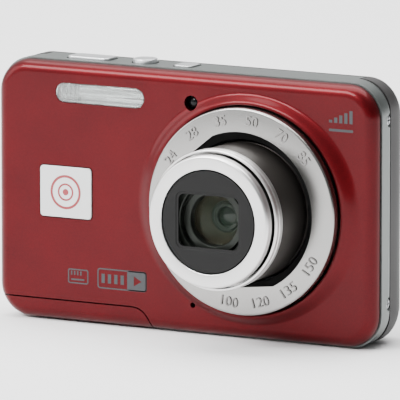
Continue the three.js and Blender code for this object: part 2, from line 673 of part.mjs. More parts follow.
function addBackControls() {
  const keyFlangeY = rearY - rearWall - 0.3;
  for (const [name, place] of Object.entries(keyPlaces)) {
    const key = rod('y', keyRadius, keyFlangeY - 0.6, rearY + keyProud, place, 14)
      .add(rod('y', keyRadius + 0.7, keyFlangeY - 0.6, keyFlangeY, place, 14));
    add(camera, key, name, paleGrey);
  }
  const pad = new THREE.Group();
  pad.position.set(padCentre[0], 0, padCentre[1]);
  camera.add(pad);
  const ringY = [keyFlangeY + 0.3, rearY + keyProud - 0.1];
  add(pad, turned([
    [padInner, ringY[0]], [padOuter, ringY[0]], [padOuter, ringY[1] - 0.4], [padOuter - 0.6, ringY[1]],
    [padInner + 0.4, ringY[1]], [padInner, ringY[1] - 0.3],
  ], 28), 'nav_ring', paleGrey);
  const gimbal = tube(padInner + 0.4, padOuter - 0.6, ringY[0] - 1.3, ringY[0] - 0.4, 24);
  add(pad, gimbal, 'nav_gimbal', blackPlastic);
  add(pad, rod('y', padInner - slip, ringY[0] - 1.1, rearY + keyProud, [0, 0]), 'set_button', paleGrey);
  const boardX = [padCentre[0] - 11.8, padCentre[0] + 11.6];
  const boardZ = [padCentre[1] - 16.1, padCentre[1] + 25];
  add(camera, block(boardX, [6.9, 7.35], boardZ), 'key_board', boardGreen);
}

function addElectronics() {
  const [bx, by, bz] = batterySize;
  const bayX = [batteryLeft - seam - bayWall, batteryLeft + bx + seam + bayWall];
  const batteryY = [batteryFrontY, batteryFrontY + by];
  const topZ = bayFloorZ + bz + 0.5;
  const cardY = [batteryY[1] + seam + bayWall + 0.2, batteryY[1] + seam + bayWall + 0.2 + cardSize[1]];
  const backY = cardY[1] + 0.2 + bayWall;
  const bayZ = [bayFloorZ, topZ + 0.8];
  const cardX = [cardLeft - seam - bayWall, cardLeft + cardSize[0] + seam + bayWall];
  const bay = block(bayX, [batteryY[0] - 0.2 - bayWall, batteryY[1] + seam + bayWall], bayZ)
    .add(block(cardX, [batteryY[1] + seam + bayWall - 0.1, backY], [bayZ[0], bayFloorZ + cardSize[2] + 1]))
    .subtract(block([bayX[0] + bayWall, bayX[1] - bayWall], [batteryY[0] - 0.2, batteryY[1] + seam], [0, topZ]))
    .subtract(block([cardLeft - seam, cardLeft + cardSize[0] + seam], [cardY[0] - 0.2, cardY[1] + 0.2],
      [0, bayFloorZ + cardSize[2] + 0.6]));
  add(camera, bay, 'battery_bay', blackPlastic);
  const cell = block([batteryLeft, batteryLeft + bx], batteryY, [bayFloorZ, bayFloorZ + bz]);
  add(camera, cell, 'battery', batteryCase);
  const cardMiddleX = cardLeft + cardSize[0] / 2;
  const cardMiddleY = (cardY[0] + cardY[1]) / 2;
  const cardTopZ = bayFloorZ + cardSize[2];
  const card = roundedPost([cardSize[0], cardSize[1]], 0.2, cardMiddleX, cardMiddleY, bayFloorZ, cardTopZ);
  add(camera, card, 'memory_card', batteryCase);
  add(camera, block([left + 4.25, lensX - 22.7], [5.9, 6.5], [9, 46]), 'main_board', boardGreen);
  const moduleX = [screenCentre[0] - screenSize[0] / 2 + 1, screenCentre[0] + screenSize[0] / 2 - 1];
  const moduleZ = [screenCentre[1] - screenSize[1] / 2 + 1.2, screenCentre[1] + screenSize[1] / 2 - 1.2];
  add(camera, block(moduleX, [7, 9.1], moduleZ), 'screen_module', steel);
  const glass = roundedSlab(screenSize, 1.8, screenCentre, rearY - 0.7, rearY - 0.05);
  add(camera, glass, 'screen_window', blackPlastic);
  const shellX = [left + 2.4, left + 7.15];
  const socketY = [usbY[0] + 0.35, usbY[1] - 0.35];
  const socketZ = [usbZ[0] + 0.35, usbZ[1] - 0.35];
  const socket = block(shellX, usbY, usbZ).subtract(block([left - 5, shellX[1] - 0.5], socketY, socketZ));
  add(camera, socket, 'usb_socket', steel);
  add(camera, roundedSlab([12, 6.6], 3, [lampCentre[0] - 2, bodyHeight - 6.8], -3, 0.5), 'speaker', batteryCase);
}

addShells();
addScrews();
addLens();
addFlash();
addTopControls();
addBackControls();
addElectronics();

export default camera;
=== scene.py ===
import math
import bmesh
import bpy
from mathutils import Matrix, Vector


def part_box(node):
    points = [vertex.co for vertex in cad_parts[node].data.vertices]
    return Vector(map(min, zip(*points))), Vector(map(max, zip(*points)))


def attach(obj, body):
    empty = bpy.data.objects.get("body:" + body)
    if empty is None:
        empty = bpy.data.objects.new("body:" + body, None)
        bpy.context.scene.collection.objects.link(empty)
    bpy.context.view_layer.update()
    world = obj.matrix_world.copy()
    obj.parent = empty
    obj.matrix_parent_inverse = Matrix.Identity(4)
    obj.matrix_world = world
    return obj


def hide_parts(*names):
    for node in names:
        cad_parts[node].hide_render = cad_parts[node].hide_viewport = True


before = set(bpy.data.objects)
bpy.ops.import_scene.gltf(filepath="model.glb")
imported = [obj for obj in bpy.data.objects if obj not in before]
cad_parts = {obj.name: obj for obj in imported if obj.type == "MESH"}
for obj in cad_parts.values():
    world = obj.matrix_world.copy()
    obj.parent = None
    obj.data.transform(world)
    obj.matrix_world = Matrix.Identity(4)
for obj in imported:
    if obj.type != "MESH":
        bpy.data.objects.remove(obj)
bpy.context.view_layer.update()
mm = 0.001
print("frame loaded with", len(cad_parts), "nodes")


# lowest and highest corner of a CAD node, in millimetres
def span(node):
    return [[value / mm for value in corner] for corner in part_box(node)]


def point(x, y, z):
    return (x * mm, y * mm, z * mm)


def deselectAll():
    if bpy.context.object and bpy.context.object.mode == "EDIT":
        bpy.ops.object.mode_set(mode="OBJECT")
    bpy.ops.object.select_all(action="DESELECT")


deselectAll()
ringLow, ringHigh = span("lens_trim_ring")
lensX = (ringLow[0] + ringHigh[0]) / 2
lensZ = (ringLow[2] + ringHigh[2]) / 2
bandLow, bandHigh = span("mid_band")
coverHigh = span("front_cover")[1]
doorLow = span("battery_door")[0]
bodyMiddleZ = (bandLow[2] + bandHigh[2]) / 2
faceY = doorLow[1]  # flat front face
seamY = coverHigh[1]  # back edge of the red cover


# Colours and nodes.
def linear(hexColour):
    parts = [int(hexColour[i:i + 2], 16) / 255 for i in (1, 3, 5)]
    return [c / 12.92 if c <= 0.04045 else ((c + 0.055) / 1.055) ** 2.4 for c in parts] + [1.0]


def addNode(material, kind, values=None, links=None, **settings):
    node = material.node_tree.nodes.new(kind)
    for key, value in settings.items():
        setattr(node, key, value)
    for socket, value in (values or {}).items():
        node.inputs[socket].default_value = value
    for socket, source in (links or {}).items():
        material.node_tree.links.new(source, node.inputs[socket])
    return node


def startMaterial(name, colour, roughness, metallic=0.0, **sockets):
    material = bpy.data.materials.new(name)
    material.use_nodes = True
    shader = material.node_tree.nodes["Principled BSDF"]
    shader.inputs["Base Color"].default_value = linear(colour)
    shader.inputs["Roughness"].default_value = roughness
    shader.inputs["Metallic"].default_value = metallic
    for socket, value in sockets.items():
        shader.inputs[socket.replace("_", " ")].default_value = value
    material.diffuse_color = linear(colour)
    return material, shader


# Mottle in colour, roughness and height from one noise, at a grain size in millimetres.
def grainFinish(material, shader, dark, light, grain, bump, rough, stretch=(1, 1, 1)):
    link = material.node_tree.links.new
    place = addNode(material, "ShaderNodeTexCoord").outputs["Object"]
    turned = addNode(material, "ShaderNodeMapping", {"Scale": stretch}, {"Vector": place})
    noise = addNode(material, "ShaderNodeTexNoise", {"Scale": 1 / (grain * mm), "Detail": 3.0, "Roughness": 0.6},
                    {"Vector": turned.outputs["Vector"]})
    broad = addNode(material, "ShaderNodeTexNoise", {"Scale": 1 / (grain * 40 * mm), "Detail": 2.0},
                    {"Vector": turned.outputs["Vector"]})
    blend = addNode(material, "ShaderNodeMath", {1: 0.35}, {0: broad.outputs["Fac"]}, operation="MULTIPLY")
    total = addNode(material, "ShaderNodeMath", {1: 0.65, 2: 0.0},
                    {0: noise.outputs["Fac"], 2: blend.outputs["Value"]}, operation="MULTIPLY_ADD")
    ramp = addNode(material, "ShaderNodeMix", {6: linear(dark), 7: linear(light)},
                   {0: total.outputs["Value"]}, data_type="RGBA")
    spread = addNode(material, "ShaderNodeMapRange", {"To Min": rough[0], "To Max": rough[1]},
                     {"Value": total.outputs["Value"]})
    height = addNode(material, "ShaderNodeBump", {"Strength": 1.0, "Distance": bump * mm},
                     {"Height": noise.outputs["Fac"]})
    link(ramp.outputs[2], shader.inputs["Base Color"])
    link(spread.outputs["Result"], shader.inputs["Roughness"])
    link(height.outputs["Normal"], shader.inputs["Normal"])


# Turned or spun metal: fine circles about the lens axis, a pitch apart in millimetres.
def turnedFinish(material, shader, dark, light, pitch, bump, rough):
    link = material.node_tree.links.new
    place = addNode(material, "ShaderNodeTexCoord").outputs["Object"]
    centred = addNode(material, "ShaderNodeMapping", {"Location": point(-lensX, 0, -lensZ)}, {"Vector": place})
    flat = addNode(material, "ShaderNodeVectorMath", {1: (1, 0, 1)}, {0: centred.outputs["Vector"]},
                   operation="MULTIPLY")
    radius = addNode(material, "ShaderNodeVectorMath", None, {0: flat.outputs["Vector"]}, operation="LENGTH")
    along = addNode(material, "ShaderNodeSeparateXYZ", None, {0: centred.outputs["Vector"]})
    reach = addNode(material, "ShaderNodeMath", None, {0: radius.outputs["Value"], 1: along.outputs["Y"]},
                    operation="ADD")
    groove = addNode(material, "ShaderNodeTexNoise", {"Scale": 1 / (pitch * mm), "Detail": 2.0},
                     {"W": reach.outputs["Value"]}, noise_dimensions="1D")
    ramp = addNode(material, "ShaderNodeMix", {6: linear(dark), 7: linear(light)}, {0: groove.outputs["Fac"]},
                   data_type="RGBA")
    spread = addNode(material, "ShaderNodeMapRange", {"To Min": rough[0], "To Max": rough[1]},
                     {"Value": groove.outputs["Fac"]})
    height = addNode(material, "ShaderNodeBump", {"Strength": 1.0, "Distance": bump * mm},
                     {"Height": groove.outputs["Fac"]})
    link(ramp.outputs[2], shader.inputs["Base Color"])
    link(spread.outputs["Result"], shader.inputs["Roughness"])
    link(height.outputs["Normal"], shader.inputs["Normal"])


# Red lacquer with fine aluminium flake under a clear coat, sprayed on: a satin sparkle below a sharp gloss.
lacquer = {"deep": "#290004", "flake": "#660710", "flakeSize": 0.26, "coat": 0.2}
redLacquer, shader = startMaterial("red_flake_lacquer", lacquer["deep"], 0.42, 0.8, Coat_Weight=lacquer["coat"],
                                   Coat_Roughness=0.15, Specular_IOR_Level=0.2)
grainFinish(redLacquer, shader, lacquer["deep"], lacquer["flake"], lacquer["flakeSize"], 0.004, (0.36, 0.5))

# Bead-blasted anodised aluminium: an even grey satin with a fine tooth.
bandMetal, shader = startMaterial("anodised_aluminium", "#6e7372", 0.38, 0.9)
grainFinish(bandMetal, shader, "#666b6a", "#7a7f7d", 0.15, 0.003, (0.32, 0.46))

# ABS moulded against a spark-eroded tool: dark grey with a dull, even grain.
shellPlastic, shader = startMaterial("grained_abs", "#262424", 0.5)
grainFinish(shellPlastic, shader, "#201e1f", "#2d2b2b", 0.3, 0.02, (0.48, 0.66))

# Diamond-turned aluminium: bright, with very fine circles about the lens.
trimMetal, shader = startMaterial("turned_aluminium", "#9b9a98", 0.25, 1.0)
turnedFinish(trimMetal, shader, "#8f8e8c", "#a6a5a3", 0.12, 0.001, (0.18, 0.28))

# A brighter copy of the turned aluminium: a painted highlight in the base colour for the nose and rim rings, which
# look brighter than the trim ring.
highlightNoseMetal, shader = startMaterial("aluminium_with_painted_highlight", "#dad9d8", 0.3, 1.0)
turnedFinish(highlightNoseMetal, shader, "#d0cfce", "#e4e3e2", 0.12, 0.001, (0.26, 0.36))

# Black-brown anodised aluminium tube, turned: a soft sheen along the lens.
barrelMetal, shader = startMaterial("dark_anodised_aluminium", "#353230", 0.42, 0.75)
turnedFinish(barrelMetal, shader, "#2d2a28", "#413d3a", 0.2, 0.003, (0.36, 0.5))

# Polycarbonate disc, moulded matt: a dark warm grey that scatters light.
plateBlack, shader = startMaterial("matt_polycarbonate", "#0f0f0f", 0.55, 0.0, Specular_IOR_Level=0.2)
grainFinish(plateBlack, shader, "#0b0b0b", "#141414", 0.12, 0.004, (0.48, 0.62))

# Glass-filled black nylon inside the lens and body: nearly no shine.
innerBlack, shader = startMaterial("black_nylon", "#141414", 0.7)
grainFinish(innerBlack, shader, "#0f0f0f", "#1c1b1b", 0.25, 0.01, (0.62, 0.8))

# Nitrile rubber: soft black with a velvety edge.
sealRubber, shader = startMaterial("nitrile_rubber", "#18181a", 0.8, 0.0, Sheen_Weight=0.3)
grainFinish(sealRubber, shader, "#141416", "#202022", 0.2, 0.006, (0.74, 0.9))

# Optical glass, coated and polished: nearly invisible but for its gloss.
lensGlass, shader = startMaterial("coated_glass", "#f6f8f6", 0.02, 0.0, IOR=1.45, Transmission_Weight=1.0,
                                  Specular_Tint=linear("#46584a"))
grainFinish(lensGlass, shader, "#f2f5f2", "#f9fbf9", 1.0, 0.00005, (0.01, 0.03))

# The inner glass made opaque and dark green: painted shade for the darkness deep inside the lens, over the green of
# its coating, with its own sharp gloss.
shadeDarkGlass, shader = startMaterial("green_glass_painted_shade_dark", "#08140d", 0.06, 0.0, IOR=1.6, Specular_IOR_Level=0.3)
grainFinish(shadeDarkGlass, shader, "#06100a", "#0c1a11", 1.0, 0.00005, (0.06, 0.1))

# Clear acrylic, moulded: slightly hazy, with faint flow marks.
clearPlastic, shader = startMaterial("clear_acrylic", "#f6f9f8", 0.06, 0.0, IOR=1.49, Transmission_Weight=0.9)
grainFinish(clearPlastic, shader, "#f0f4f3", "#fbfdfc", 0.8, 0.001, (0.04, 0.09))

# Vacuum-metallised reflector: a mirror with a slight orange peel.
mirrorMetal, shader = startMaterial("metallised_mirror", "#dfe2e1", 0.12, 1.0)
grainFinish(mirrorMetal, shader, "#d6d9d8", "#e8eae9", 0.6, 0.004, (0.08, 0.16))

# Nickel-plated steel: neutral and bright, with drawn lines.
steelMetal, shader = startMaterial("nickel_steel", "#a9abad", 0.3, 1.0)
grainFinish(steelMetal, shader, "#999b9d", "#b7b9bb", 0.12, 0.002, (0.24, 0.4), (1, 1, 0.2))

# Machined brass: warm yellow with fine tool marks.
brassMetal, shader = startMaterial("machined_brass", "#b4934c", 0.32, 1.0)
grainFinish(brassMetal, shader, "#a58541", "#c3a35c", 0.15, 0.003, (0.26, 0.42), (1, 1, 0.3))

# Satin chrome plating on ABS keys: pale and softly bright.
keyChrome, shader = startMaterial("satin_chrome", "#d8d9da", 0.28, 0.85)
grainFinish(keyChrome, shader, "#ccced0", "#e2e3e4", 0.12, 0.002, (0.22, 0.36))

# Pale grey ABS keys on the back, lightly textured.
keyPlastic, shader = startMaterial("pale_abs", "#b7b9ba", 0.45)
grainFinish(keyPlastic, shader, "#adafb0", "#c2c4c5", 0.2, 0.006, (0.38, 0.54))

# Glass-fibre board under green solder mask: faint weave and a waxy gloss.
boardGreen, shader = startMaterial("solder_mask_board", "#1b5233", 0.4, 0.0, Coat_Weight=0.3)
grainFinish(boardGreen, shader, "#143f27", "#24663f", 0.5, 0.01, (0.32, 0.5))

# Polyester film round a cell or card: dark blue-grey, slightly creased.
cellFilm, shader = startMaterial("polyester_film", "#2b2f36", 0.5)
grainFinish(cellFilm, shader, "#24282e", "#353a42", 1.2, 0.02, (0.42, 0.6))

# Hardened cover glass over a dark display: black with a clean polish.
screenGlass, shader = startMaterial("display_glass", "#050609", 0.06, 0.0, Specular_IOR_Level=0.4)
grainFinish(screenGlass, shader, "#040507", "#07080b", 3.0, 0.0002, (0.04, 0.09))

# Pad-printed ink, dark grey: dull, with slightly uneven cover.
darkInk, shader = startMaterial("dark_printing_ink", "#2c2e31", 0.6)
grainFinish(darkInk, shader, "#26282b", "#36383b", 0.3, 0.002, (0.52, 0.7))

# Silver enamel on a stamped badge: even and pale with a soft gloss.
badgeEnamel, shader = startMaterial("silver_enamel", "#c6c9ca", 0.4, 0.25, Coat_Weight=0.2)
grainFinish(badgeEnamel, shader, "#cccece", "#d9dbdb", 0.25, 0.002, (0.34, 0.48))
print("materials made")

nodeFinish = {
    redLacquer: ["front_cover", "battery_door"],
    bandMetal: ["mid_band"],
    shellPlastic: ["rear_cover", "usb_cover"],
    trimMetal: ["lens_trim_ring"],
    highlightNoseMetal: ["nose_ring"],
    barrelMetal: ["middle_barrel", "inner_barrel", "cam_ring", "lens_cell"],
    plateBlack: ["lens_plate", "barrier_blade_upper", "barrier_blade_lower", "door_latch"],
    innerBlack: ["lens_housing", "battery_bay", "focus_carriage", "nav_gimbal", "shutter_unit"],
    sealRubber: ["barrel_seal"],
    lensGlass: ["front_lens", "rear_lens", "focus_lens"],
    clearPlastic: ["flash_window", "assist_lamp", "flash_tube"],
    mirrorMetal: ["flash_reflector"],
    steelMetal: ["door_hinge_pin", "strap_bar", "side_screw_1", "side_screw_2", "side_screw_3", "side_screw_4",
                 "focus_rail_1", "focus_rail_2", "zoom_motor", "usb_socket", "screen_module"],
    brassMetal: ["tripod_bush", "zoom_gear"],
    keyChrome: ["zoom_rocker", "shutter_button", "power_button"],
    keyPlastic: ["video_button", "menu_button", "play_button", "delete_button", "display_button", "nav_ring",
                 "set_button"],
    boardGreen: ["main_board", "key_board", "image_sensor"],
    cellFilm: ["battery", "memory_card", "flash_capacitor", "speaker"],
    screenGlass: ["screen_window"],
    badgeEnamel: ["badge_plate"],
}
for finish, names in nodeFinish.items():
    for name in names:
        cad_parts[name].data.materials.clear()
        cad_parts[name].data.materials.append(finish)
unfinished = sorted(set(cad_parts) - {name for names in nodeFinish.values() for name in names})
if unfinished:
    print("no finish for", unfinished)

# Camera, floor and light.
studio = {"target": (4.083, -8.0, 29.228), "eye": (771.6, -1425.2, 300.7), "focal": 695.7, "floor": 4.0}
bpy.ops.object.camera_add(location=point(*studio["eye"]))
camera = bpy.context.object
camera.name = "studio_camera"
toTarget = [t - e for t, e in zip(studio["target"], studio["eye"])]
yaw = math.atan2(-toTarget[0], toTarget[1])
pitch = math.atan2(toTarget[2], math.hypot(toTarget[0], toTarget[1]))
camera.rotation_euler = (math.pi / 2 + pitch, 0, yaw)
camera.data.lens = studio["focal"]
bpy.context.scene.camera = camera

deselectAll()
bpy.ops.mesh.primitive_plane_add(size=studio["floor"], location=(0, 0.4, 0))
floor = bpy.context.object
floor.name = "studio_floor"
bpy.ops.object.transform_apply(location=True, rotation=True, scale=True)
floorPaper, shader = startMaterial("white_backdrop_paper", "#f4f4f4", 0.8)
grainFinish(floorPaper, shader, "#f0f0f0", "#f7f7f7", 2.0, 0.01, (0.75, 0.85))
floor.data.materials.append(floorPaper)

# The room is bright on the left and above, and dark on the right, as between two curtains.
world = bpy.data.worlds.new("studio_room")
bpy.context.scene.world = world
world.use_nodes = True
room = {"left": 1.15, "right": 0.12, "above": 0.35}
way = addNode(world, "ShaderNodeTexCoord").outputs["Generated"]
parts = addNode(world, "ShaderNodeSeparateXYZ", None, {0: way})
across = addNode(world, "ShaderNodeMapRange",
                 {"From Min": -0.75, "From Max": 0.35, "To Min": room["left"], "To Max": room["right"]},
                 {"Value": parts.outputs["X"]}, interpolation_type="SMOOTHSTEP")
upward = addNode(world, "ShaderNodeMapRange",
                 {"From Min": 0.1, "From Max": 0.9, "To Min": 0.0, "To Max": room["above"]},
                 {"Value": parts.outputs["Z"]}, interpolation_type="SMOOTHSTEP")
glow = addNode(world, "ShaderNodeMath", None, {0: across.outputs["Result"], 1: upward.outputs["Result"]},
               operation="ADD")
world.node_tree.links.new(glow.outputs["Value"], world.node_tree.nodes["Background"].inputs["Strength"])
world.node_tree.nodes["Background"].inputs["Color"].default_value = (1, 1, 1, 1)

# name, place, point it faces, size across and up, power
softboxes = [
    ("top_softbox", (-0.1, 0.25, 1.5), (0, 0.1, 0), 1.8, 1.4, 60),
    ("left_softbox", (-1.4, -0.7, 0.6), (0, 0, 0.03), 0.9, 0.9, 10),
    ("front_strip", (-0.62, -1.15, 1.1), (0, 0, 0.03), 1.1, 0.5, 45),
]
for name, place, aim, width, height, power in softboxes:
    direction = [a - p for a, p in zip(aim, place)]
    turnZ = math.atan2(-direction[0], direction[1])
    lean = math.atan2(direction[2], math.hypot(direction[0], direction[1]))
    bpy.ops.object.light_add(type="AREA", location=place, rotation=(math.pi / 2 + lean, 0, turnZ))
    lamp = bpy.context.object
    lamp.name = name
    lamp.data.shape = "RECTANGLE"
    lamp.data.size = width
    lamp.data.size_y = height
    lamp.data.energy = power
print("studio set")

# Modelling helpers.
upright = (math.pi / 2, 0, 0)  # a flat primitive turned to face along Y


def startEdit(piece, kind="FACE"):
    deselectAll()
    piece.select_set(True)
    bpy.context.view_layer.objects.active = piece
    bpy.ops.object.mode_set(mode="EDIT")
    bpy.ops.mesh.select_mode(type=kind)
    bpy.ops.mesh.select_all(action="DESELECT")


def stopEdit():
    bpy.ops.object.mode_set(mode="OBJECT")


# Selects what has every corner pass a test of its place in millimetres; faces may also name the way they face.
def pick(piece, kind, test, facing=None):
    bpy.ops.mesh.select_mode(type=kind)
    bpy.ops.mesh.select_all(action="DESELECT")
    mesh = bmesh.from_edit_mesh(piece.data)
    items = {"VERT": mesh.verts, "EDGE": mesh.edges, "FACE": mesh.faces}[kind]
    for item in items:
        corners = [item] if kind == "VERT" else item.verts
        chosen = all(test(*[value / mm for value in corner.co]) for corner in corners)
        if chosen and facing:
            item.normal_update()
            chosen = sum(a * b for a, b in zip(item.normal, facing)) > 0.9
        item.select_set(chosen)
    mesh.select_flush_mode()
    bmesh.update_edit_mesh(piece.data)


def slide(x, y, z):
    bpy.ops.transform.translate(value=point(x, y, z))


def extrudeBy(x, y, z):
    bpy.ops.mesh.extrude_region_move(TRANSFORM_OT_translate={"value": point(x, y, z)})


def applyModifiers(piece):
    deselectAll()
    piece.select_set(True)
    bpy.context.view_layer.objects.active = piece
    for modifier in list(piece.modifiers):
        bpy.ops.object.modifier_apply(modifier=modifier.name)


def settle(piece):
    deselectAll()
    piece.select_set(True)
    bpy.context.view_layer.objects.active = piece
    bpy.ops.object.transform_apply(location=True, rotation=True, scale=True)


def combine(piece, other, operation="DIFFERENCE"):
    modifier = piece.modifiers.new("shape", "BOOLEAN")
    modifier.operation = operation
    modifier.solver = "EXACT"
    modifier.object = other
    applyModifiers(piece)
    bpy.data.objects.remove(other)


def faceOut(piece):
    startEdit(piece, "VERT")
    bpy.ops.mesh.select_all(action="SELECT")
    bpy.ops.mesh.remove_doubles(threshold=0.002 * mm)
    bpy.ops.mesh.delete_loose(use_verts=True, use_edges=True, use_faces=False)
    bpy.ops.mesh.select_all(action="SELECT")
    bpy.ops.mesh.normals_make_consistent(inside=False)
    stopEdit()


# Breaks the sharp edges and shades the rest smooth.
def soften(piece, width, segments=2, angle=35):
    deselectAll()
    piece.select_set(True)
    bpy.context.view_layer.objects.active = piece
    bpy.ops.object.shade_smooth()
    modifier = piece.modifiers.new("broken_edges", "BEVEL")
    modifier.width = width * mm
    modifier.segments = segments
    modifier.limit_method = "ANGLE"
    modifier.angle_limit = math.radians(angle)
    modifier.harden_normals = True
    modifier.use_clamp_overlap = True
    applyModifiers(piece)


def smooth(piece, angle=32):
    deselectAll()
    piece.select_set(True)
    bpy.context.view_layer.objects.active = piece
    bpy.ops.object.shade_smooth_by_angle(angle=math.radians(angle))


def thicken(piece, wall):
    modifier = piece.modifiers.new("wall", "SOLIDIFY")
    modifier.thickness = wall * mm
    modifier.offset = -1
    modifier.use_even_offset = True
    applyModifiers(piece)


# A rounded rectangle pushed along one axis from one place to another, in millimetres.
def roundedPlate(name, centre, size, corner, start, end, axis="Y", segments=8):
    place = {"Y": (centre[0], start, centre[1]), "Z": (centre[0], centre[1], start),
             "X": (start, centre[0], centre[1])}[axis]
    turn = {"Y": upright, "Z": (0, 0, 0), "X": (math.pi / 2, 0, math.pi / 2)}[axis]
    bpy.ops.mesh.primitive_plane_add(size=1, location=point(*place), rotation=turn)
    piece = bpy.context.object
    piece.name = name
    piece.scale = (size[0] * mm, size[1] * mm, 1)
    settle(piece)
    startEdit(piece, "VERT")
    bpy.ops.mesh.select_all(action="SELECT")
    if corner:
        bpy.ops.mesh.bevel(offset=corner * mm, offset_type="OFFSET", affect="VERTICES", segments=segments)
    bpy.ops.mesh.select_all(action="SELECT")
    reach = end - start
    if reach:
        extrudeBy(*{"Y": (0, reach, 0), "Z": (0, 0, reach), "X": (reach, 0, 0)}[axis])
        bpy.ops.mesh.select_all(action="SELECT")
        bpy.ops.mesh.normals_make_consistent(inside=False)
    stopEdit()
    return piece


# A round bar between two places along an axis.
def roundBar(name, centre, radius, start, end, axis="Y", sides=48):
    middle = (start + end) / 2
    place = {"Y": (centre[0], middle, centre[1]), "Z": (centre[0], centre[1], middle),
             "X": (middle, centre[0], centre[1])}[axis]
    turn = {"Y": upright, "Z": (0, 0, 0), "X": (0, math.pi / 2, 0)}[axis]
    bpy.ops.mesh.primitive_cylinder_add(vertices=sides, radius=radius * mm, depth=abs(end - start) * mm,
                                        location=point(*place), rotation=turn)
    piece = bpy.context.object
    piece.name = name
    settle(piece)
    return piece


# A piece spun about an axis through its centre, from [radius, station] corners of its section.
def spunPiece(name, profile, centre=None, axis="Y", steps=128, closed=True):
    centre = centre or (lensX, lensZ)

    def place(radius, station):
        return {"Y": (centre[0] + radius, station, centre[1]), "Z": (centre[0] + radius, centre[1], station),
                "X": (station, centre[0] + radius, centre[1])}[axis]

    bpy.ops.mesh.primitive_plane_add(size=mm, location=point(*place(*profile[0])))
    piece = bpy.context.object
    piece.name = name
    settle(piece)
    startEdit(piece, "VERT")
    bpy.ops.mesh.select_all(action="SELECT")
    bpy.ops.mesh.merge(type="CENTER")
    stops = profile + ([profile[0]] if closed else [])
    for here, there in zip(stops, stops[1:]):
        step = [b - a for a, b in zip(place(*here), place(*there))]
        extrudeBy(*step)
    bpy.ops.mesh.select_all(action="SELECT")
    bpy.ops.mesh.remove_doubles(threshold=0.001 * mm)
    pivot, line = {"Y": ((centre[0], 0, centre[1]), (0, 1, 0)), "Z": ((centre[0], centre[1], 0), (0, 0, 1)),
                   "X": ((0, centre[0], centre[1]), (1, 0, 0))}[axis]
    bpy.ops.mesh.select_all(action="SELECT")
    bpy.ops.mesh.spin(steps=steps, angle=2 * math.pi, center=point(*pivot), axis=line)
    stopEdit()
    faceOut(piece)
    return piece


def finishPiece(piece, body, finish, slotName, *nodes):
    piece.data.materials.clear()
    piece.data.materials.append(finish)
    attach(piece, body)
    if nodes:
        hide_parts(*nodes)
    return piece


# Red front cover.
cover = {
    "inset": 0.35, "corner": 7.5, "round": 2.5, "wall": 1.2, "opening": 22.4, "lip": 0.3,
    "swellInner": 22.7, "swellWide": 4.1, "swellTall": 2.2, "swellHeight": 1.4, "swellSteps": 16,
    "doorTop": 4.7, "doorEnd": -12.5, "doorRadius": 4.4, "seam": 0.3,
}
bodyWidth = bandHigh[0] - bandLow[0]
bodyHeight = bandHigh[2] - bandLow[2]

# Rings of the swell round the lens, from its crest out to the face: half width, half height and depth.
swellRings = []
for step in range(cover["swellSteps"] + 1):
    share = step / cover["swellSteps"]
    fall = (1 - share) ** 2 * (1 + 2 * share)
    swellRings.append((cover["swellInner"] + cover["swellWide"] * share,
                       cover["swellInner"] + cover["swellTall"] * share, faceY - cover["swellHeight"] * fall))
crestY = swellRings[0][2]


# The face with its rounded rim, open at the back, reaching back to a place on the depth.
def faceForm(name, backY):
    inset = cover["inset"]
    form = roundedPlate(name, (0, bodyMiddleZ), (bodyWidth - 2 * inset, bodyHeight - 2 * inset), cover["corner"] - inset,
                        backY, faceY, segments=14)
    startEdit(form, "EDGE")
    pick(form, "EDGE", lambda x, y, z: abs(y - faceY) < 0.01)
    bpy.ops.mesh.bevel(offset=cover["round"] * mm, offset_type="OFFSET", segments=10, affect="EDGES")
    pick(form, "FACE", lambda x, y, z: abs(y - backY) < 0.01, (0, 1, 0))
    bpy.ops.mesh.delete(type="FACE")
    stopEdit()
    return form


# The battery door's outline on the front, grown by a gap and pushed back through the body.
def doorPrism(grow, backY):
    radius = cover["doorRadius"] + grow
    leftEnd = doorLow[0] - 2
    top = cover["doorTop"] + grow
    prism = roundedPlate("door_outline", ((leftEnd + cover["doorEnd"] + radius) / 2, top - 10),
                         (cover["doorEnd"] + radius - leftEnd, 20), 0, faceY - 3, backY)
    startEdit(prism, "EDGE")
    pick(prism, "EDGE", lambda x, y, z: x > cover["doorEnd"] and z > 0)
    bpy.ops.mesh.select_mode(type="EDGE")
    mesh = bmesh.from_edit_mesh(prism.data)
    for edge in mesh.edges:
        edge.select_set(edge.select and abs(edge.verts[0].co.y - edge.verts[1].co.y) > 5 * mm)
    bmesh.update_edit_mesh(prism.data)
    bpy.ops.mesh.bevel(offset=radius * mm, offset_type="OFFSET", segments=12, affect="EDGES")
    stopEdit()
    return prism


front = faceForm("front_cover_skin", seamY)
startEdit(front, "FACE")
pick(front, "FACE", lambda x, y, z: abs(y - faceY) < 0.01, (0, -1, 0))
bpy.ops.mesh.inset(thickness=0.12 * mm)
bpy.ops.mesh.delete(type="FACE")
bpy.ops.mesh.primitive_circle_add(vertices=144, radius=cover["opening"] * mm, rotation=upright,
                                  location=point(lensX, crestY + cover["lip"], lensZ))
bpy.ops.mesh.select_mode(type="EDGE")
lastX, lastZ, lastY = cover["opening"], cover["opening"], crestY + cover["lip"]
lipRings = [(cover["opening"] + 0.09, cover["opening"] + 0.09, crestY + 0.09)]
for ringX, ringZ, ringY in lipRings + swellRings:
    extrudeBy(0, ringY - lastY, 0)
    bpy.ops.transform.resize(value=(ringX / lastX, 1, ringZ / lastZ), center_override=point(lensX, 0, lensZ))
    lastX, lastZ, lastY = ringX, ringZ, ringY


def onFaceLoops(x, y, z):
    return abs(y - faceY) < 0.005


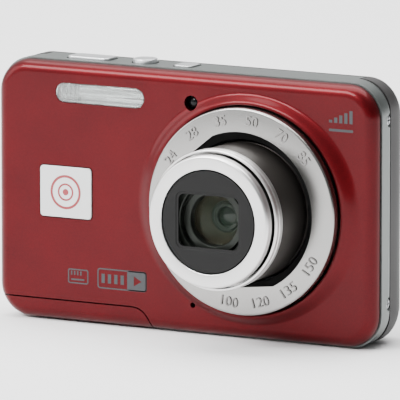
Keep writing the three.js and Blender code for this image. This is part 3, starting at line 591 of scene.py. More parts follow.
pick(front, "VERT", onFaceLoops)
mesh = bmesh.from_edit_mesh(front.data)
bpy.ops.mesh.select_mode(type="EDGE")
for edge in mesh.edges:
    edge.select_set(edge.is_boundary and all(onFaceLoops(*[value / mm for value in v.co]) for v in edge.verts))
bmesh.update_edit_mesh(front.data)
bpy.ops.mesh.fill(use_beauty=True)
bpy.ops.mesh.select_all(action="SELECT")
bpy.ops.mesh.normals_make_consistent(inside=False)
stopEdit()
thicken(front, cover["wall"])
flashLow, flashHigh = span("flash_window")
flashSize = (flashHigh[0] - flashLow[0], flashHigh[2] - flashLow[2])
flashCentre = ((flashLow[0] + flashHigh[0]) / 2, (flashLow[2] + flashHigh[2]) / 2)
lampLow, lampHigh = span("assist_lamp")
lampCentre = ((lampLow[0] + lampHigh[0]) / 2, (lampLow[2] + lampHigh[2]) / 2)
badgeLow, badgeHigh = span("badge_plate")
badgeSize = (badgeHigh[0] - badgeLow[0], badgeHigh[2] - badgeLow[2])
badgeCentre = ((badgeLow[0] + badgeHigh[0]) / 2, (badgeLow[2] + badgeHigh[2]) / 2)
slot = roundedPlate("flash_hole", flashCentre, (flashSize[0] + 0.4, flashSize[1] + 0.4), flashSize[1] / 2 + 0.19,
                    faceY - 2, faceY + 4, segments=16)
combine(front, slot)
combine(front, roundBar("lamp_hole", lampCentre, 1.6, faceY - 2, faceY + 4))
combine(front, roundBar("microphone_hole", (2.35, 6.47), 0.6, faceY - 3, faceY + 4, sides=24))
recessSize = (badgeSize[0] + 0.5, badgeSize[1] + 0.5)
combine(front, roundedPlate("badge_recess", badgeCentre, recessSize, 1, faceY - 2, faceY + 0.5))
combine(front, doorPrism(cover["seam"], 12))
smooth(front, 28)
finishPiece(front, "camera_body", redLacquer, "red_paint", "front_cover")
print("front cover shaped", len(front.data.polygons))

# Points of an arc in a section, angles in degrees from the radius direction towards the station direction.
def arcPoints(radiusCentre, stationCentre, radius, start, stop, parts=6):
    turns = [math.radians(start + (stop - start) * i / parts) for i in range(parts + 1)]
    return [(radiusCentre + radius * math.cos(a), stationCentre + radius * math.sin(a)) for a in turns]


# Grey band with its top and bottom decks.
band = {"wall": 1.2, "bevel": 0.75, "bevelStart": -1.8, "sideBack": 0.1, "screwRadius": 1.55, "keyGap": 0.35}
midBand = roundedPlate("mid_band_shell", (0, bodyMiddleZ), (bodyWidth, bodyHeight), cover["corner"], bandLow[1],
                       band["bevelStart"], segments=14)
startEdit(midBand)
pick(midBand, "FACE", lambda x, y, z: abs(y - band["bevelStart"]) < 0.01, (0, 1, 0))
extrudeBy(0, band["sideBack"] - band["bevelStart"], 0)
bpy.ops.transform.resize(value=(1 - 2 * band["bevel"] / bodyWidth, 1, 1), center_override=(0, 0, 0))
bpy.ops.mesh.delete(type="FACE")
pick(midBand, "FACE", lambda x, y, z: abs(y - bandLow[1]) < 0.01, (0, -1, 0))
bpy.ops.mesh.delete(type="FACE")
for level in (0, bodyHeight):
    pick(midBand, "EDGE", lambda x, y, z: abs(y - band["sideBack"]) < 0.01 and abs(z - level) < 0.01)
    extrudeBy(0, bandHigh[1] - band["sideBack"], 0)
bpy.ops.mesh.select_all(action="SELECT")
bpy.ops.mesh.normals_make_consistent(inside=False)
stopEdit()
thicken(midBand, band["wall"])
topKeys = {
    "zoom_rocker": {"centre": (-26, -0.6), "size": (10, 5), "corner": 1.2, "edge": 0.35},
    "shutter_button": {"centre": (-13.1, -0.6), "size": (5.2, 5.2), "corner": 2.55, "edge": 0.4},
    "power_button": {"centre": (-3, -0.6), "size": (4.4, 4.8), "corner": 1, "edge": 0.2},
}
for key in topKeys.values():
    gap = band["keyGap"]
    combine(midBand, roundedPlate("key_hole", key["centre"], [side + 2 * gap for side in key["size"]], key["corner"] + gap,
                                  bodyHeight - 3, bodyHeight + 2, "Z"))
screwSpans = {name: span(name) for name in ("side_screw_1", "side_screw_2", "side_screw_3", "side_screw_4")}
for low, high in screwSpans.values():
    side = 1 if low[0] > 0 else -1
    combine(midBand, roundBar("screw_recess", ((low[1] + high[1]) / 2, (low[2] + high[2]) / 2), band["screwRadius"],
                              side * 42, side * 48, "X"))
bushLow, bushHigh = span("tripod_bush")
bushCentre = ((bushLow[0] + bushHigh[0]) / 2, (bushLow[1] + bushHigh[1]) / 2)
combine(midBand, roundBar("bush_hole", bushCentre, 3.8, -2, 3, "Z"))
combine(midBand, doorPrism(cover["seam"], 5.7))
soften(midBand, 0.12, 2, 40)
finishPiece(midBand, "camera_body", bandMetal, "band_metal", "mid_band")
print("band shaped", len(midBand.data.polygons))

# Dark rear cover and the cover of the socket.
rear = {
    "wall": 1.2, "notchHalf": 37.9, "notchBack": 3.5, "deck": 1.6,
    "levels": [(0.4, 0.75, 0), (3.97, 0.9, 0), (6.43, 1.6, 1.1), (8.74, 2.8, 2.6), (10.28, 3.9, 4), (10.9, 5, 5.2)],
    "parts": 4, "pocketGap": 0.3, "navHole": 9.35, "keyHole": 2.5,
}


# Levels filled in between so that the back curves evenly.
def evenLevels(levels, parts):
    filled = []
    for i in range(len(levels) - 1):
        before, here = levels[max(i - 1, 0)], levels[i]
        there, after = levels[i + 1], levels[min(i + 2, len(levels) - 1)]
        for step in range(parts):
            t = step / parts
            filled.append([max(0, 0.5 * (2 * b + (c - a) * t + (2 * a - 5 * b + 4 * c - d) * t ** 2
                                         + (3 * b - a - 3 * c + d) * t ** 3)) for a, b, c, d in zip(before, here, there, after)])
    return filled + [list(levels[-1])]


# The back as an open skin that starts at the band.
def rearForm(name):
    levels = evenLevels(rear["levels"], rear["parts"])
    startY, insetX, insetZ = levels[0]
    form = roundedPlate(name, (0, bodyMiddleZ), (bodyWidth - 2 * insetX, bodyHeight - 2 * insetZ), cover["corner"] - insetX,
                        startY, startY, segments=14)
    startEdit(form)
    bpy.ops.mesh.select_all(action="SELECT")
    lastY, lastX, lastZ = levels[0]
    for y, x, z in levels[1:]:
        extrudeBy(0, y - lastY, 0)
        bpy.ops.transform.resize(value=((bodyWidth - 2 * x) / (bodyWidth - 2 * lastX), 1,
                                        (bodyHeight - 2 * z) / (bodyHeight - 2 * lastZ)),
                                 center_override=point(0, 0, bodyMiddleZ))
        lastY, lastX, lastZ = y, x, z
    bpy.ops.mesh.inset(thickness=0.15 * mm)
    pick(form, "FACE", lambda x, y, z: abs(y - startY) < 0.001)
    bpy.ops.mesh.delete(type="FACE")
    bpy.ops.mesh.select_all(action="SELECT")
    bpy.ops.mesh.normals_make_consistent(inside=False)
    stopEdit()
    return form


rearCover = rearForm("rear_cover_shell")
thicken(rearCover, rear["wall"])
rearY = rear["levels"][-1][0]
screenLow, screenHigh = span("screen_window")
screenSize = (screenHigh[0] - screenLow[0], screenHigh[2] - screenLow[2])
screenCentre = ((screenLow[0] + screenHigh[0]) / 2, (screenLow[2] + screenHigh[2]) / 2)
padLow, padHigh = span("nav_ring")
padCentre = ((padLow[0] + padHigh[0]) / 2, (padLow[2] + padHigh[2]) / 2)
backKeys = {}
for name in ("video_button", "menu_button", "play_button", "delete_button", "display_button"):
    low, high = span(name)
    backKeys[name] = ((low[0] + high[0]) / 2, (low[2] + high[2]) / 2)
for level in ((bodyHeight - rear["deck"], bodyHeight + 2), (-2, rear["deck"])):
    notchSize = (2 * rear["notchHalf"], level[1] - level[0])
    combine(rearCover, roundedPlate("deck_notch", (0, (level[0] + level[1]) / 2), notchSize, 0,
                                    -2, rear["notchBack"]))
strapLow, strapHigh = span("strap_bar")
lugBlock = roundedPlate("strap_block", ((strapLow[0] + strapHigh[0]) / 2 + 0.6, 3.4), (1.6, 4.8), 0, strapLow[2] - 1,
                        strapHigh[2] + 1, "Z")
combine(rearCover, lugBlock, "UNION")
combine(rearCover, roundedPlate("strap_pocket", (bandLow[0] + 0.75, 3.3), (3.5, 3.4), 0.4, strapLow[2] + 0.8,
                                strapHigh[2] - 0.8, "Z"))
combine(rearCover, roundBar("strap_bar_hole", ((strapLow[0] + strapHigh[0]) / 2, 3.2), 0.75, strapLow[2] - 0.2,
                            strapHigh[2] + 0.2, "Z"))
gap = rear["pocketGap"]
pocketSize = [side + 2 * gap for side in screenSize]
combine(rearCover, roundedPlate("screen_pocket", screenCentre, pocketSize, 2, rearY - 1, rearY + 2))
openingSize = [side - 3 for side in screenSize]
combine(rearCover, roundedPlate("screen_opening", screenCentre, openingSize, 1, rearY - 4, rearY + 2))
combine(rearCover, roundBar("pad_hole", padCentre, rear["navHole"], rearY - 4, rearY + 2, sides=96))
for place in backKeys.values():
    combine(rearCover, roundBar("key_hole", place, rear["keyHole"], rearY - 4, rearY + 2))
usbLow, usbHigh = span("usb_cover")
combine(rearCover, roundedPlate("socket_opening", (bandLow[0], (usbLow[2] + usbHigh[2]) / 2),
                                (6, usbHigh[2] - usbLow[2] + 2 * gap), 0.4, usbLow[1] - 0.35, usbHigh[1] + gap))
combine(rearCover, doorPrism(cover["seam"], 5.7))
soften(rearCover, 0.1, 2, 40)
finishPiece(rearCover, "camera_body", shellPlastic, "shell_plastic", "rear_cover")

usbCover = rearForm("usb_cover_flap")
thicken(usbCover, 1)
usbBlock = roundedPlate("socket_outline", (bandLow[0], (usbLow[2] + usbHigh[2]) / 2), (8, usbHigh[2] - usbLow[2]), 0.5,
                        usbLow[1] + 0.55, usbHigh[1])
combine(usbCover, usbBlock, "INTERSECT")
usbHinge = roundBar("socket_hinge", (-44.35, usbLow[1] + 0.55), 0.5, usbLow[2] + 0.2, usbHigh[2] - 0.2, "Z", 24)
combine(usbCover, usbHinge, "UNION")
combine(usbCover, roundedPlate("nail_groove", (bandLow[0] - 0.1, (usbLow[2] + usbHigh[2]) / 2), (1.6, 5), 0.4,
                               usbHigh[1] - 0.55, usbHigh[1] + 0.5))
soften(usbCover, 0.1, 2, 40)
finishPiece(usbCover, "usb_cover", shellPlastic, "shell_plastic", "usb_cover")
print("rear cover shaped", len(rearCover.data.polygons))

# Battery door, cut from the same outer form.
door = {"wall": 1.2, "knuckle": 1.0, "pinY": 4.4, "pinZ": 1.05,
        "knuckles": [(-39.7, -33), (-31, -20), (-18, -12.6)]}
batteryDoor = faceForm("battery_door_shell", seamY)
startEdit(batteryDoor, "EDGE")
lastX, lastZ, lastY = bodyWidth - 2 * cover["inset"], bodyHeight - 2 * cover["inset"], seamY
for y, x, z in ((band["sideBack"], bodyWidth - 2 * cover["inset"], bodyHeight), (3.97, bodyWidth - 1.8, bodyHeight),
                (6.0, bodyWidth - 2.4, bodyHeight)):
    pick(batteryDoor, "EDGE", lambda px, py, pz: abs(py - lastY) < 0.001)
    extrudeBy(0, y - lastY, 0)
    bpy.ops.transform.resize(value=(x / lastX, 1, z / lastZ), center_override=point(0, 0, bodyMiddleZ))
    lastX, lastZ, lastY = x, z, y
bpy.ops.mesh.select_all(action="SELECT")
bpy.ops.mesh.normals_make_consistent(inside=False)
stopEdit()
thicken(batteryDoor, door["wall"])
combine(batteryDoor, doorPrism(0, door["pinY"]), "INTERSECT")
for start, end in door["knuckles"]:
    knuckle = roundBar("door_knuckle", (door["pinY"], door["pinZ"]), door["knuckle"], start, end, "X", 32)
    combine(batteryDoor, knuckle, "UNION")
combine(batteryDoor, roundedPlate("latch_slot", (-24.2, -1.65), (9.1, 3.2), 0.5, -2, 3, "Z"))
smooth(batteryDoor, 30)
finishPiece(batteryDoor, "battery_door", redLacquer, "red_paint", "battery_door")

latch = roundedPlate("door_latch_slider", (-23, -1.65), (5.9, 2.4), 0.4, 0.2, 2.0, "Z")
plate = roundedPlate("latch_flange", (-23, -1.65), (7.6, 4.4), 0.3, 1.5, 2.05, "Z")
combine(latch, plate, "UNION")
for offset in (-1.6, -0.8, 0, 0.8, 1.6):
    combine(latch, roundedPlate("latch_groove", (-23 + offset, -1.65), (0.35, 2.0), 0, -1, 0.45, "Z"))
soften(latch, 0.08, 1, 40)
finishPiece(latch, "door_latch", plateBlack, "black_plastic", "door_latch")
print("battery door shaped", len(batteryDoor.data.polygons))

# Trim ring, barrels and nose ring of the lens.
ring = {"outer": ringHigh[0] - lensX, "inner": 17.1, "front": ringLow[1], "back": ringHigh[1],
        "edge": 0.45, "cone": 0.35,
        "flats": [(128, 16.4), (276, 15.9)]}
trimRing = roundBar("trim_ring", (lensX, lensZ), ring["outer"], ring["front"], ring["back"], sides=176)
startEdit(trimRing, "EDGE")
pick(trimRing, "EDGE", lambda x, y, z: abs(y - ring["front"]) < 0.01)
bpy.ops.mesh.bevel(offset=ring["edge"] * mm, offset_type="OFFSET", segments=5, affect="EDGES")
pick(trimRing, "FACE", lambda x, y, z: abs(y - ring["front"]) < 0.01, (0, -1, 0))
bpy.ops.mesh.inset(thickness=(ring["outer"] - ring["edge"] - ring["inner"] + 2) * mm)
slide(0, -ring["cone"], 0)
bpy.ops.mesh.select_all(action="SELECT")
slide(0, ring["cone"], 0)
stopEdit()
bore = roundBar("ring_bore", (lensX, lensZ), ring["inner"], ring["front"] - 2, ring["back"] + 2, sides=144)
startEdit(bore)
for direction, reach in ring["flats"]:
    turn = math.radians(direction)
    bpy.ops.mesh.select_all(action="SELECT")
    bpy.ops.mesh.bisect(plane_co=point(lensX + reach * math.cos(turn), 0, lensZ + reach * math.sin(turn)),
                        plane_no=(math.cos(turn), 0, math.sin(turn)), use_fill=True, clear_outer=True)
stopEdit()
combine(trimRing, bore)
soften(trimRing, 0.18, 3, 40)
finishPiece(trimRing, "camera_body", trimMetal, "bright_metal", "lens_trim_ring")
# Dark liner between the ring's bore and the barrel.
surround = spunPiece("barrel_surround", [(17.2, -10.9), (17.2, -7.6), (15.3, -7.6), (15.3, -9.9), (15.4, -10.05)])
smooth(surround, 30)
finishPiece(surround, "camera_body", plateBlack, "black_plastic")

barrel = {"outer": 14.7, "inner": 13.6, "rim": 15.0, "front": -23.57, "rimBack": -20.77, "back": -8.0,
          "counterbore": 14.45}
barrelTube = spunPiece("middle_barrel_tube", [
    (barrel["inner"], barrel["rimBack"] + 0.1), (barrel["outer"] - 0.12, barrel["rimBack"] + 0.1),
    (barrel["outer"] - 0.12, barrel["rimBack"] + 0.5), (barrel["outer"], barrel["rimBack"] + 0.6),
    (barrel["outer"], -9.6), (barrel["outer"] - 0.15, -9.5), (barrel["outer"] - 0.15, -9.1), (barrel["outer"], -9.0),
    (barrel["outer"], barrel["back"]), (barrel["inner"], barrel["back"])])
smooth(barrelTube, 40)
finishPiece(barrelTube, "middle_barrel", barrelMetal, "dark_metal", "middle_barrel")
rimProfile = [(barrel["inner"] + 0.1, barrel["front"] + 2.55), (barrel["counterbore"], barrel["front"] + 2.5),
              (barrel["counterbore"], barrel["front"] + 0.08), (barrel["counterbore"] + 0.08, barrel["front"])]
rimProfile += arcPoints(barrel["rim"] - 0.3, barrel["front"] + 0.3, 0.3, -90, 0)
rimProfile += [(barrel["rim"], -22.45), (barrel["rim"] - 0.1, -22.35), (barrel["rim"] - 0.1, -22.2),
               (barrel["rim"], -22.1)]
rimProfile += arcPoints(barrel["rim"] - 0.2, barrel["rimBack"] - 0.2, 0.2, 0, 90, 3)
rimProfile += [(barrel["inner"] + 0.1, barrel["rimBack"])]
barrelRim = spunPiece("middle_barrel_rim", rimProfile)
smooth(barrelRim, 30)
finishPiece(barrelRim, "middle_barrel", highlightNoseMetal, "bright_metal")

nose = {"inner": 11.1, "outer": 14.1, "front": -26.1, "back": -24.0, "round": 0.65}
noseProfile = [(nose["inner"], nose["front"] + 0.83), (nose["inner"], nose["front"] + 0.2)]
noseProfile += arcPoints(nose["inner"] + 0.2, nose["front"] + 0.2, 0.2, 180, 270, 4)
noseProfile += arcPoints(nose["outer"] - nose["round"], nose["front"] + nose["round"], nose["round"], -90, 0, 8)
noseProfile += [(nose["outer"], nose["back"] - 0.1), (nose["outer"] - 0.1, nose["back"]), (12.5, nose["back"]),
                (12.5, nose["front"] + 0.83)]
noseRing = spunPiece("nose_trim", noseProfile, steps=160)
smooth(noseRing, 30)
finishPiece(noseRing, "inner_barrel", highlightNoseMetal, "bright_metal", "nose_ring")
innerTube = spunPiece("inner_barrel_tube", [(12.2, -23.6), (12.3, -23.7), (13.1, -23.7), (13.2, -23.6), (13.2, -10.1),
                                            (13.1, -10), (12.3, -10), (12.2, -10.1)])
smooth(innerTube, 30)
finishPiece(innerTube, "inner_barrel", barrelMetal, "dark_metal", "inner_barrel")

# Front plate with its window, and the barrier behind it.
window = {"size": (14.2, 11.1), "corner": 1.3, "radius": 10.8, "front": -25.97, "back": -25.37}
frontPlate = roundBar("front_plate", (lensX, lensZ), window["radius"], window["front"], window["back"], sides=144)
combine(frontPlate, roundedPlate("plate_recess", (lensX, lensZ), [side + 1.1 for side in window["size"]],
                                 window["corner"] + 0.4, window["front"] - 1, window["front"] + 0.14))
combine(frontPlate, roundedPlate("plate_window", (lensX, lensZ), window["size"], window["corner"], -27, -24))
soften(frontPlate, 0.1, 2, 40)
finishPiece(frontPlate, "inner_barrel", plateBlack, "black_plastic", "lens_plate")
for side, name in ((1, "upper"), (-1, "lower")):
    low, high = span("barrier_blade_" + name)
    blade = roundedPlate("barrier_" + name, (lensX, (low[2] + high[2]) / 2), (high[0] - low[0], high[2] - low[2]), 0,
                         low[1], high[1])
    startEdit(blade, "EDGE")
    outerZ = high[2] if side > 0 else low[2]
    pick(blade, "EDGE", lambda x, y, z: abs(z - outerZ) < 0.01)
    mesh = bmesh.from_edit_mesh(blade.data)
    for edge in mesh.edges:
        edge.select_set(edge.select and abs(edge.verts[0].co.x - edge.verts[1].co.x) < 0.01 * mm)
    bmesh.update_edit_mesh(blade.data)
    bpy.ops.mesh.bevel(offset=2.9 * mm, offset_type="OFFSET", segments=8, affect="EDGES")
    stopEdit()
    soften(blade, 0.12, 2, 40)
    finishPiece(blade, "blade_" + name, plateBlack, "black_plastic", "barrier_blade_" + name)

# Optics seen through the window.
cell = spunPiece("lens_cell_front", [
    (5.6, -23.27), (5.75, -23.42), (6.9, -23.42), (7.05, -23.3), (7.05, -22.6), (7.7, -22.6),
    (7.7, -24.0), (7.85, -24.15), (9.0, -24.15), (9.15, -24.0), (9.15, -23.0), (11.85, -23.0),
    (11.85, -22.27), (7.5, -21.07), (7.5, -13.3), (6.3, -13.3), (6.3, -21.0), (5.6, -21.0)])
smooth(cell, 25)
# Black anodised aluminium inside the lens, dull, with a cold sheen on its edges.
cellMetal, shader = startMaterial("black_anodised_aluminium", "#20231f", 0.4, 0.6)
turnedFinish(cellMetal, shader, "#1a1d1a", "#292d28", 0.25, 0.003, (0.34, 0.5))
finishPiece(cell, "inner_barrel", cellMetal, "dark_metal", "lens_cell")

# The stepped baffle that narrows behind the front glass, dyed brown.
baffle = {"front": (5.25, -20.7), "back": (3.05, -17.8), "steps": 5, "wall": 0.7}
baffleProfile = []
for step in range(baffle["steps"]):
    for across, along in ((step, step + 0.2), (step + 0.8, step + 0.9)):
        baffleProfile.append([front + (back - front) * part / baffle["steps"]
                              for front, back, part in zip(baffle["front"], baffle["back"], (across, along))])
baffleProfile += [(baffle["back"][0] + baffle["wall"], baffle["back"][1]), (6.25, -18.4), (6.25, -20.9),
                  (5.3, -20.9)]
lensBaffle = spunPiece("lens_baffle", baffleProfile, steps=96)
smooth(lensBaffle, 25)
baffleBrown, shader = startMaterial("brown_dyed_aluminium", "#3b3526", 0.55, 0.2)
turnedFinish(baffleBrown, shader, "#2f2a1d", "#474030", 0.25, 0.004, (0.46, 0.64))
finishPiece(lensBaffle, "inner_barrel", baffleBrown, "dark_metal")


def glassElement(name, radius, backY, edge, bulge, hollow, body, glass, *nodes):
    face = [(radius * i / 10, backY - edge - bulge * (1 - (i / 10) ** 2)) for i in range(11)]
    back = [(radius * i / 10, backY - hollow * (1 - (i / 10) ** 2)) for i in range(10, -1, -1)]
    element = spunPiece(name, face + back, steps=96, closed=False)
    smooth(element, 30)
    finishPiece(element, body, glass, "lens_glass", *nodes)


glassElement("front_element", 5.3, -21.07, 1.2, 0.9, 0.5, "inner_barrel", lensGlass, "front_lens")
glassElement("aperture_element", 1.85, -16.9, 0.5, 0.35, 0.1, "inner_barrel", shadeDarkGlass)
shutter = spunPiece("shutter_ring", [(1.9, -17.75), (2.05, -17.9), (2.6, -17.9), (2.75, -17.75), (2.75, -17.3),
                                     (6.0, -17.3), (6.0, -16.7), (1.9, -16.7)], steps=96)
smooth(shutter, 30)
finishPiece(shutter, "inner_barrel", cellMetal, "black_plastic", "shutter_unit")
print("lens shaped")

# Flash, lamp and badge.
flashDepth = (flashLow[1], flashHigh[1])
flashWindow = roundedPlate("flash_cover", flashCentre, flashSize, flashSize[1] / 2 - 0.02, flashDepth[0],
                           flashDepth[1] - 0.35, segments=14)
ribs = {"count": 8, "pitch": 0.5, "first": flashCentre[0] - 9}  # they fan the light at one end only
rib = roundedPlate("flash_rib", (ribs["first"], flashCentre[1]), (0.3, 3.0), 0, flashDepth[1] - 0.4, flashDepth[1],
                   segments=1)
startEdit(rib, "FACE")
pick(rib, "FACE", lambda x, y, z: abs(y - flashDepth[1]) < 0.01, (0, 1, 0))
bpy.ops.transform.resize(value=(0.2, 1, 1), center_override=point(ribs["first"], 0, 0))
stopEdit()
row = rib.modifiers.new("ribs", "ARRAY")
row.count = ribs["count"]
row.use_relative_offset = False
row.use_constant_offset = True
row.constant_offset_displace = point(ribs["pitch"], 0, 0)
applyModifiers(rib)
combine(flashWindow, rib, "UNION")
soften(flashWindow, 0.14, 3, 50)
finishPiece(flashWindow, "camera_body", clearPlastic, "clear_plastic", "flash_window")

bowlLow, bowlHigh = span("flash_reflector")
bowlSize = (bowlHigh[0] - bowlLow[0], bowlHigh[2] - bowlLow[2])
bowl = roundedPlate("flash_bowl", flashCentre, bowlSize, 0.6, bowlLow[1], bowlHigh[1])
trough = roundBar("flash_trough", (-4, flashCentre[1]), 1.9, bowlLow[0] + 0.9, bowlHigh[0] - 0.9, "X", 64)
combine(bowl, trough)
mouth = roundedPlate("flash_mouth", flashCentre, (19.4, 3.5), 0.4, -4.0, bowlLow[1] - 1)
startEdit(mouth, "FACE")
pick(mouth, "FACE", lambda x, y, z: y < bowlLow[1] - 0.9, (0, -1, 0))
bpy.ops.transform.resize(value=(1.04, 1, 1.3), center_override=point(flashCentre[0], 0, flashCentre[1]))
stopEdit()
combine(bowl, mouth)
smooth(bowl, 35)
finishPiece(bowl, "camera_body", mirrorMetal, "reflector_mirror", "flash_reflector")
tubeProfile = [(radius, flashCentre[0] + reach) for radius, reach in (
    (0.3, -9.2), (0.7, -9.0), (0.95, -8.4), (0.95, 8.4), (0.7, 9.0), (0.3, 9.2), (0, 9.2), (0, -9.2))]
flashTube = spunPiece("flash_lamp_tube", tubeProfile, (-4, flashCentre[1]), "X", 32)
smooth(flashTube, 40)
finishPiece(flashTube, "camera_body", clearPlastic, "clear_plastic", "flash_tube")
for end in (-1, 1):
    capProfile = [(radius, flashCentre[0] + end * reach) for radius, reach in (
        (0, 8.3), (0.75, 8.3), (0.99, 8.45), (0.99, 9.05), (0.75, 9.15), (0, 9.15))]
    cap = spunPiece("flash_tube_cap", capProfile, (-4, flashCentre[1]), "X", 32)
    smooth(cap, 40)
    finishPiece(cap, "camera_body", steelMetal, "steel")

# Smoked acrylic over the focus lamp: clear but nearly black.
smokedPlastic, shader = startMaterial("smoked_acrylic", "#060607", 0.2, 0.0, Specular_IOR_Level=0.2)
grainFinish(smokedPlastic, shader, "#050506", "#0a0a0b", 0.4, 0.0006, (0.15, 0.25))
lampProfile = [(0, -7.25), (0.5, -7.2), (0.95, -7.02), (1.3, -6.7), (1.4, -6.5), (1.4, -5.6), (0, -5.6)]
lampLens = spunPiece("focus_lamp_lens", lampProfile, lampCentre, "Y", 64)
smooth(lampLens, 40)
finishPiece(lampLens, "camera_body", smokedPlastic, "clear_plastic", "assist_lamp")

# Red enamel let into the badge.
redEnamel, shader = startMaterial("red_enamel", "#8a2028", 0.35, 0.0, Coat_Weight=0.3)
grainFinish(redEnamel, shader, "#7d1a22", "#98262f", 0.3, 0.001, (0.3, 0.42))
badge = {"ringRadius": 3.7, "ringLine": 0.55, "inner": 1.9, "edge": 0.12}
badgePlate = roundedPlate("badge_panel", badgeCentre, badgeSize, 0.8, badgeLow[1], badgeHigh[1])
soften(badgePlate, badge["edge"], 3, 40)
finishPiece(badgePlate, "camera_body", badgeEnamel, "bright_metal", "badge_plate")


# A flat ring of ink or enamel on a face that looks along Y.
def flatRing(name, centre, outer, inner, front, back, steps=96):
    flat = spunPiece(name, [(inner, front), (outer, front), (outer, back), (inner, back)], centre, "Y", steps)
    smooth(flat, 30)
    return flat


def joinPieces(name, parts):
    deselectAll()
    for part in parts:
        part.select_set(True)
    bpy.context.view_layer.objects.active = parts[0]
    bpy.ops.object.join()
    parts[0].name = name
    return parts[0]


badgeMark = joinPieces("badge_lens_mark", [
    flatRing(name, badgeCentre, outer, inner, badgeLow[1] - 0.02, badgeLow[1] + 0.05) for name, outer, inner in (
        ("mark_ring", badge["ringRadius"], badge["ringRadius"] - badge["ringLine"]),
        ("mark_inner", badge["inner"], badge["inner"] - 0.4), ("mark_dot", 0.7, 0.02))])
finishPiece(badgeMark, "camera_body", redEnamel, "red_paint")

# Printed marks on the front: a card, a film strip with a play sign, and zoom bars.
ink = {"front": faceY - 0.025, "back": faceY + 0.02, "line": 0.28}


def inkPatch(centre, size, corner=0.0):
    return roundedPlate("ink_patch", centre, size, corner, ink["front"], ink["back"], segments=5)


def inkFrame(centre, size, corner, line):
    frameMark = inkPatch(centre, size, corner)
    combine(frameMark, roundedPlate("ink_inside", centre, [side - 2 * line for side in size], max(corner - line, 0.05),
                                    ink["front"] - 1, ink["back"] + 1, segments=5))
    return frameMark


def inkTriangle(centre, radius, turn=0.0, front=None, back=None):
    front, back = (ink["front"], ink["back"]) if front is None else (front, back)
    bpy.ops.mesh.primitive_cylinder_add(vertices=3, radius=radius * mm, depth=abs(back - front) * mm,
                                        rotation=upright, location=point(centre[0], (front + back) / 2, centre[1]))
    triangle = bpy.context.object
    settle(triangle)
    startEdit(triangle)
    bpy.ops.mesh.select_all(action="SELECT")
    bpy.ops.transform.rotate(value=math.radians(turn), orient_axis="Y",
                             center_override=point(centre[0], 0, centre[1]))
    stopEdit()
    return triangle


cardMark = [inkFrame((-25.5, 10.3), (5.0, 3.2), 0.5, ink["line"])]
cardMark += [inkPatch((-27.1 + 0.75 * i, 11.0), (0.35, 0.9)) for i in range(4)]
cardMark += [inkPatch((-25.6, 9.6), (3.2, 0.35))]
stripMark = [inkFrame((-14.8, 10.4), (12.0, 4.4), 0.7, ink["line"])]
solidHalf = inkPatch((-11.2, 10.4), (4.7, 4.3), 0.6)
combine(solidHalf, inkTriangle((-11.3, 10.4), 1.25, 30, -9, -7))
stripMark += [solidHalf] + [inkPatch((-19.4 + 1.55 * i, 10.4), (0.8, 2.0)) for i in range(4)]
zoomMark = [inkPatch((35.15 + 1.2 * i, 48.15 + 0.27 * i + 0.3), (0.75, 0.6 + 0.54 * i)) for i in range(5)]
zoomMark += [inkPatch((37.6, 46.6), (5.7, 0.55), 0.2)]
frontInk = joinPieces("front_printed_marks", cardMark + stripMark + zoomMark)
finishPiece(frontInk, "camera_body", darkInk, "black_plastic")

# Plain zoom numbers round the ring, engraved and filled grey.
# Engraving filled with a thin grey wash: dull, and darker than the metal round it.
engravedGrey, shader = startMaterial("engraving_wash", "#8d8b89", 0.5, 0.3)
grainFinish(engravedGrey, shader, "#838180", "#989694", 0.15, 0.003, (0.44, 0.58))
scale = {"radius": 19.55, "height": 2.3, "front": ring["front"] - 0.02}


def ringNumber(text, angle, upsideDown=False):
    bpy.ops.object.text_add(location=(0, 0, 0))
    number = bpy.context.object
    number.data.body = text
    number.data.size = scale["height"] * 1.35 * mm
    number.data.align_x = "CENTER"
    number.data.align_y = "CENTER"
    number.data.extrude = 0.03 * mm
    number.data.offset = -0.012 * mm
    number.data.resolution_u = 3
    deselectAll()
    number.select_set(True)
    bpy.context.view_layer.objects.active = number
    bpy.ops.object.convert(target="MESH")
    number = bpy.context.object
    turn = math.radians(angle)
    lean = turn + math.pi / 2 if upsideDown else turn - math.pi / 2
    number.rotation_euler = (math.pi / 2, -lean, 0)
    number.location = point(lensX + scale["radius"] * math.cos(turn), scale["front"] + 0.03,
                            lensZ + scale["radius"] * math.sin(turn))
    settle(number)
    faceOut(number)
    return number


upperNumbers = {"24": 148, "28": 126, "35": 104, "50": 82, "70": 60, "85": 40}  # degrees round the ring
lowerNumbers = {"100": 262, "120": 284, "135": 306, "150": 328}
marks = [ringNumber(text, angle) for text, angle in upperNumbers.items()]
marks += [ringNumber(text, angle, True) for text, angle in lowerNumbers.items()]
ringScale = joinPieces("ring_scale_numbers", marks)
finishPiece(ringScale, "camera_body", engravedGrey, "dark_metal")

# Top keys.
for name, key in topKeys.items():
    low, high = span(name)
    cap = roundedPlate(name + "_cap", key["centre"], key["size"], key["corner"], low[2] + 0.3, high[2], "Z", 10)
    startEdit(cap, "FACE")
    pick(cap, "FACE", lambda x, y, z: abs(z - high[2]) < 0.01, (0, 0, 1))
    bpy.ops.mesh.inset(thickness=min(key["size"]) * 0.16 * mm)
    slide(0, 0, -0.12)
    stopEdit()
    flange = roundedPlate("key_flange", key["centre"], [side + 1.3 for side in key["size"]], key["corner"] + 0.4, low[2],
                          low[2] + 0.85, "Z")
    combine(cap, flange, "UNION")
    soften(cap, key["edge"] * 0.6, 3, 40)
    finishPiece(cap, name, keyChrome, "bright_metal", name)

# Screen, keys and pad on the back.
screenPane = roundedPlate("screen_pane", screenCentre, screenSize, 1.8, screenLow[1], screenHigh[1], segments=10)
soften(screenPane, 0.2, 3, 40)
finishPiece(screenPane, "camera_body", screenGlass, "black_plastic", "screen_window")
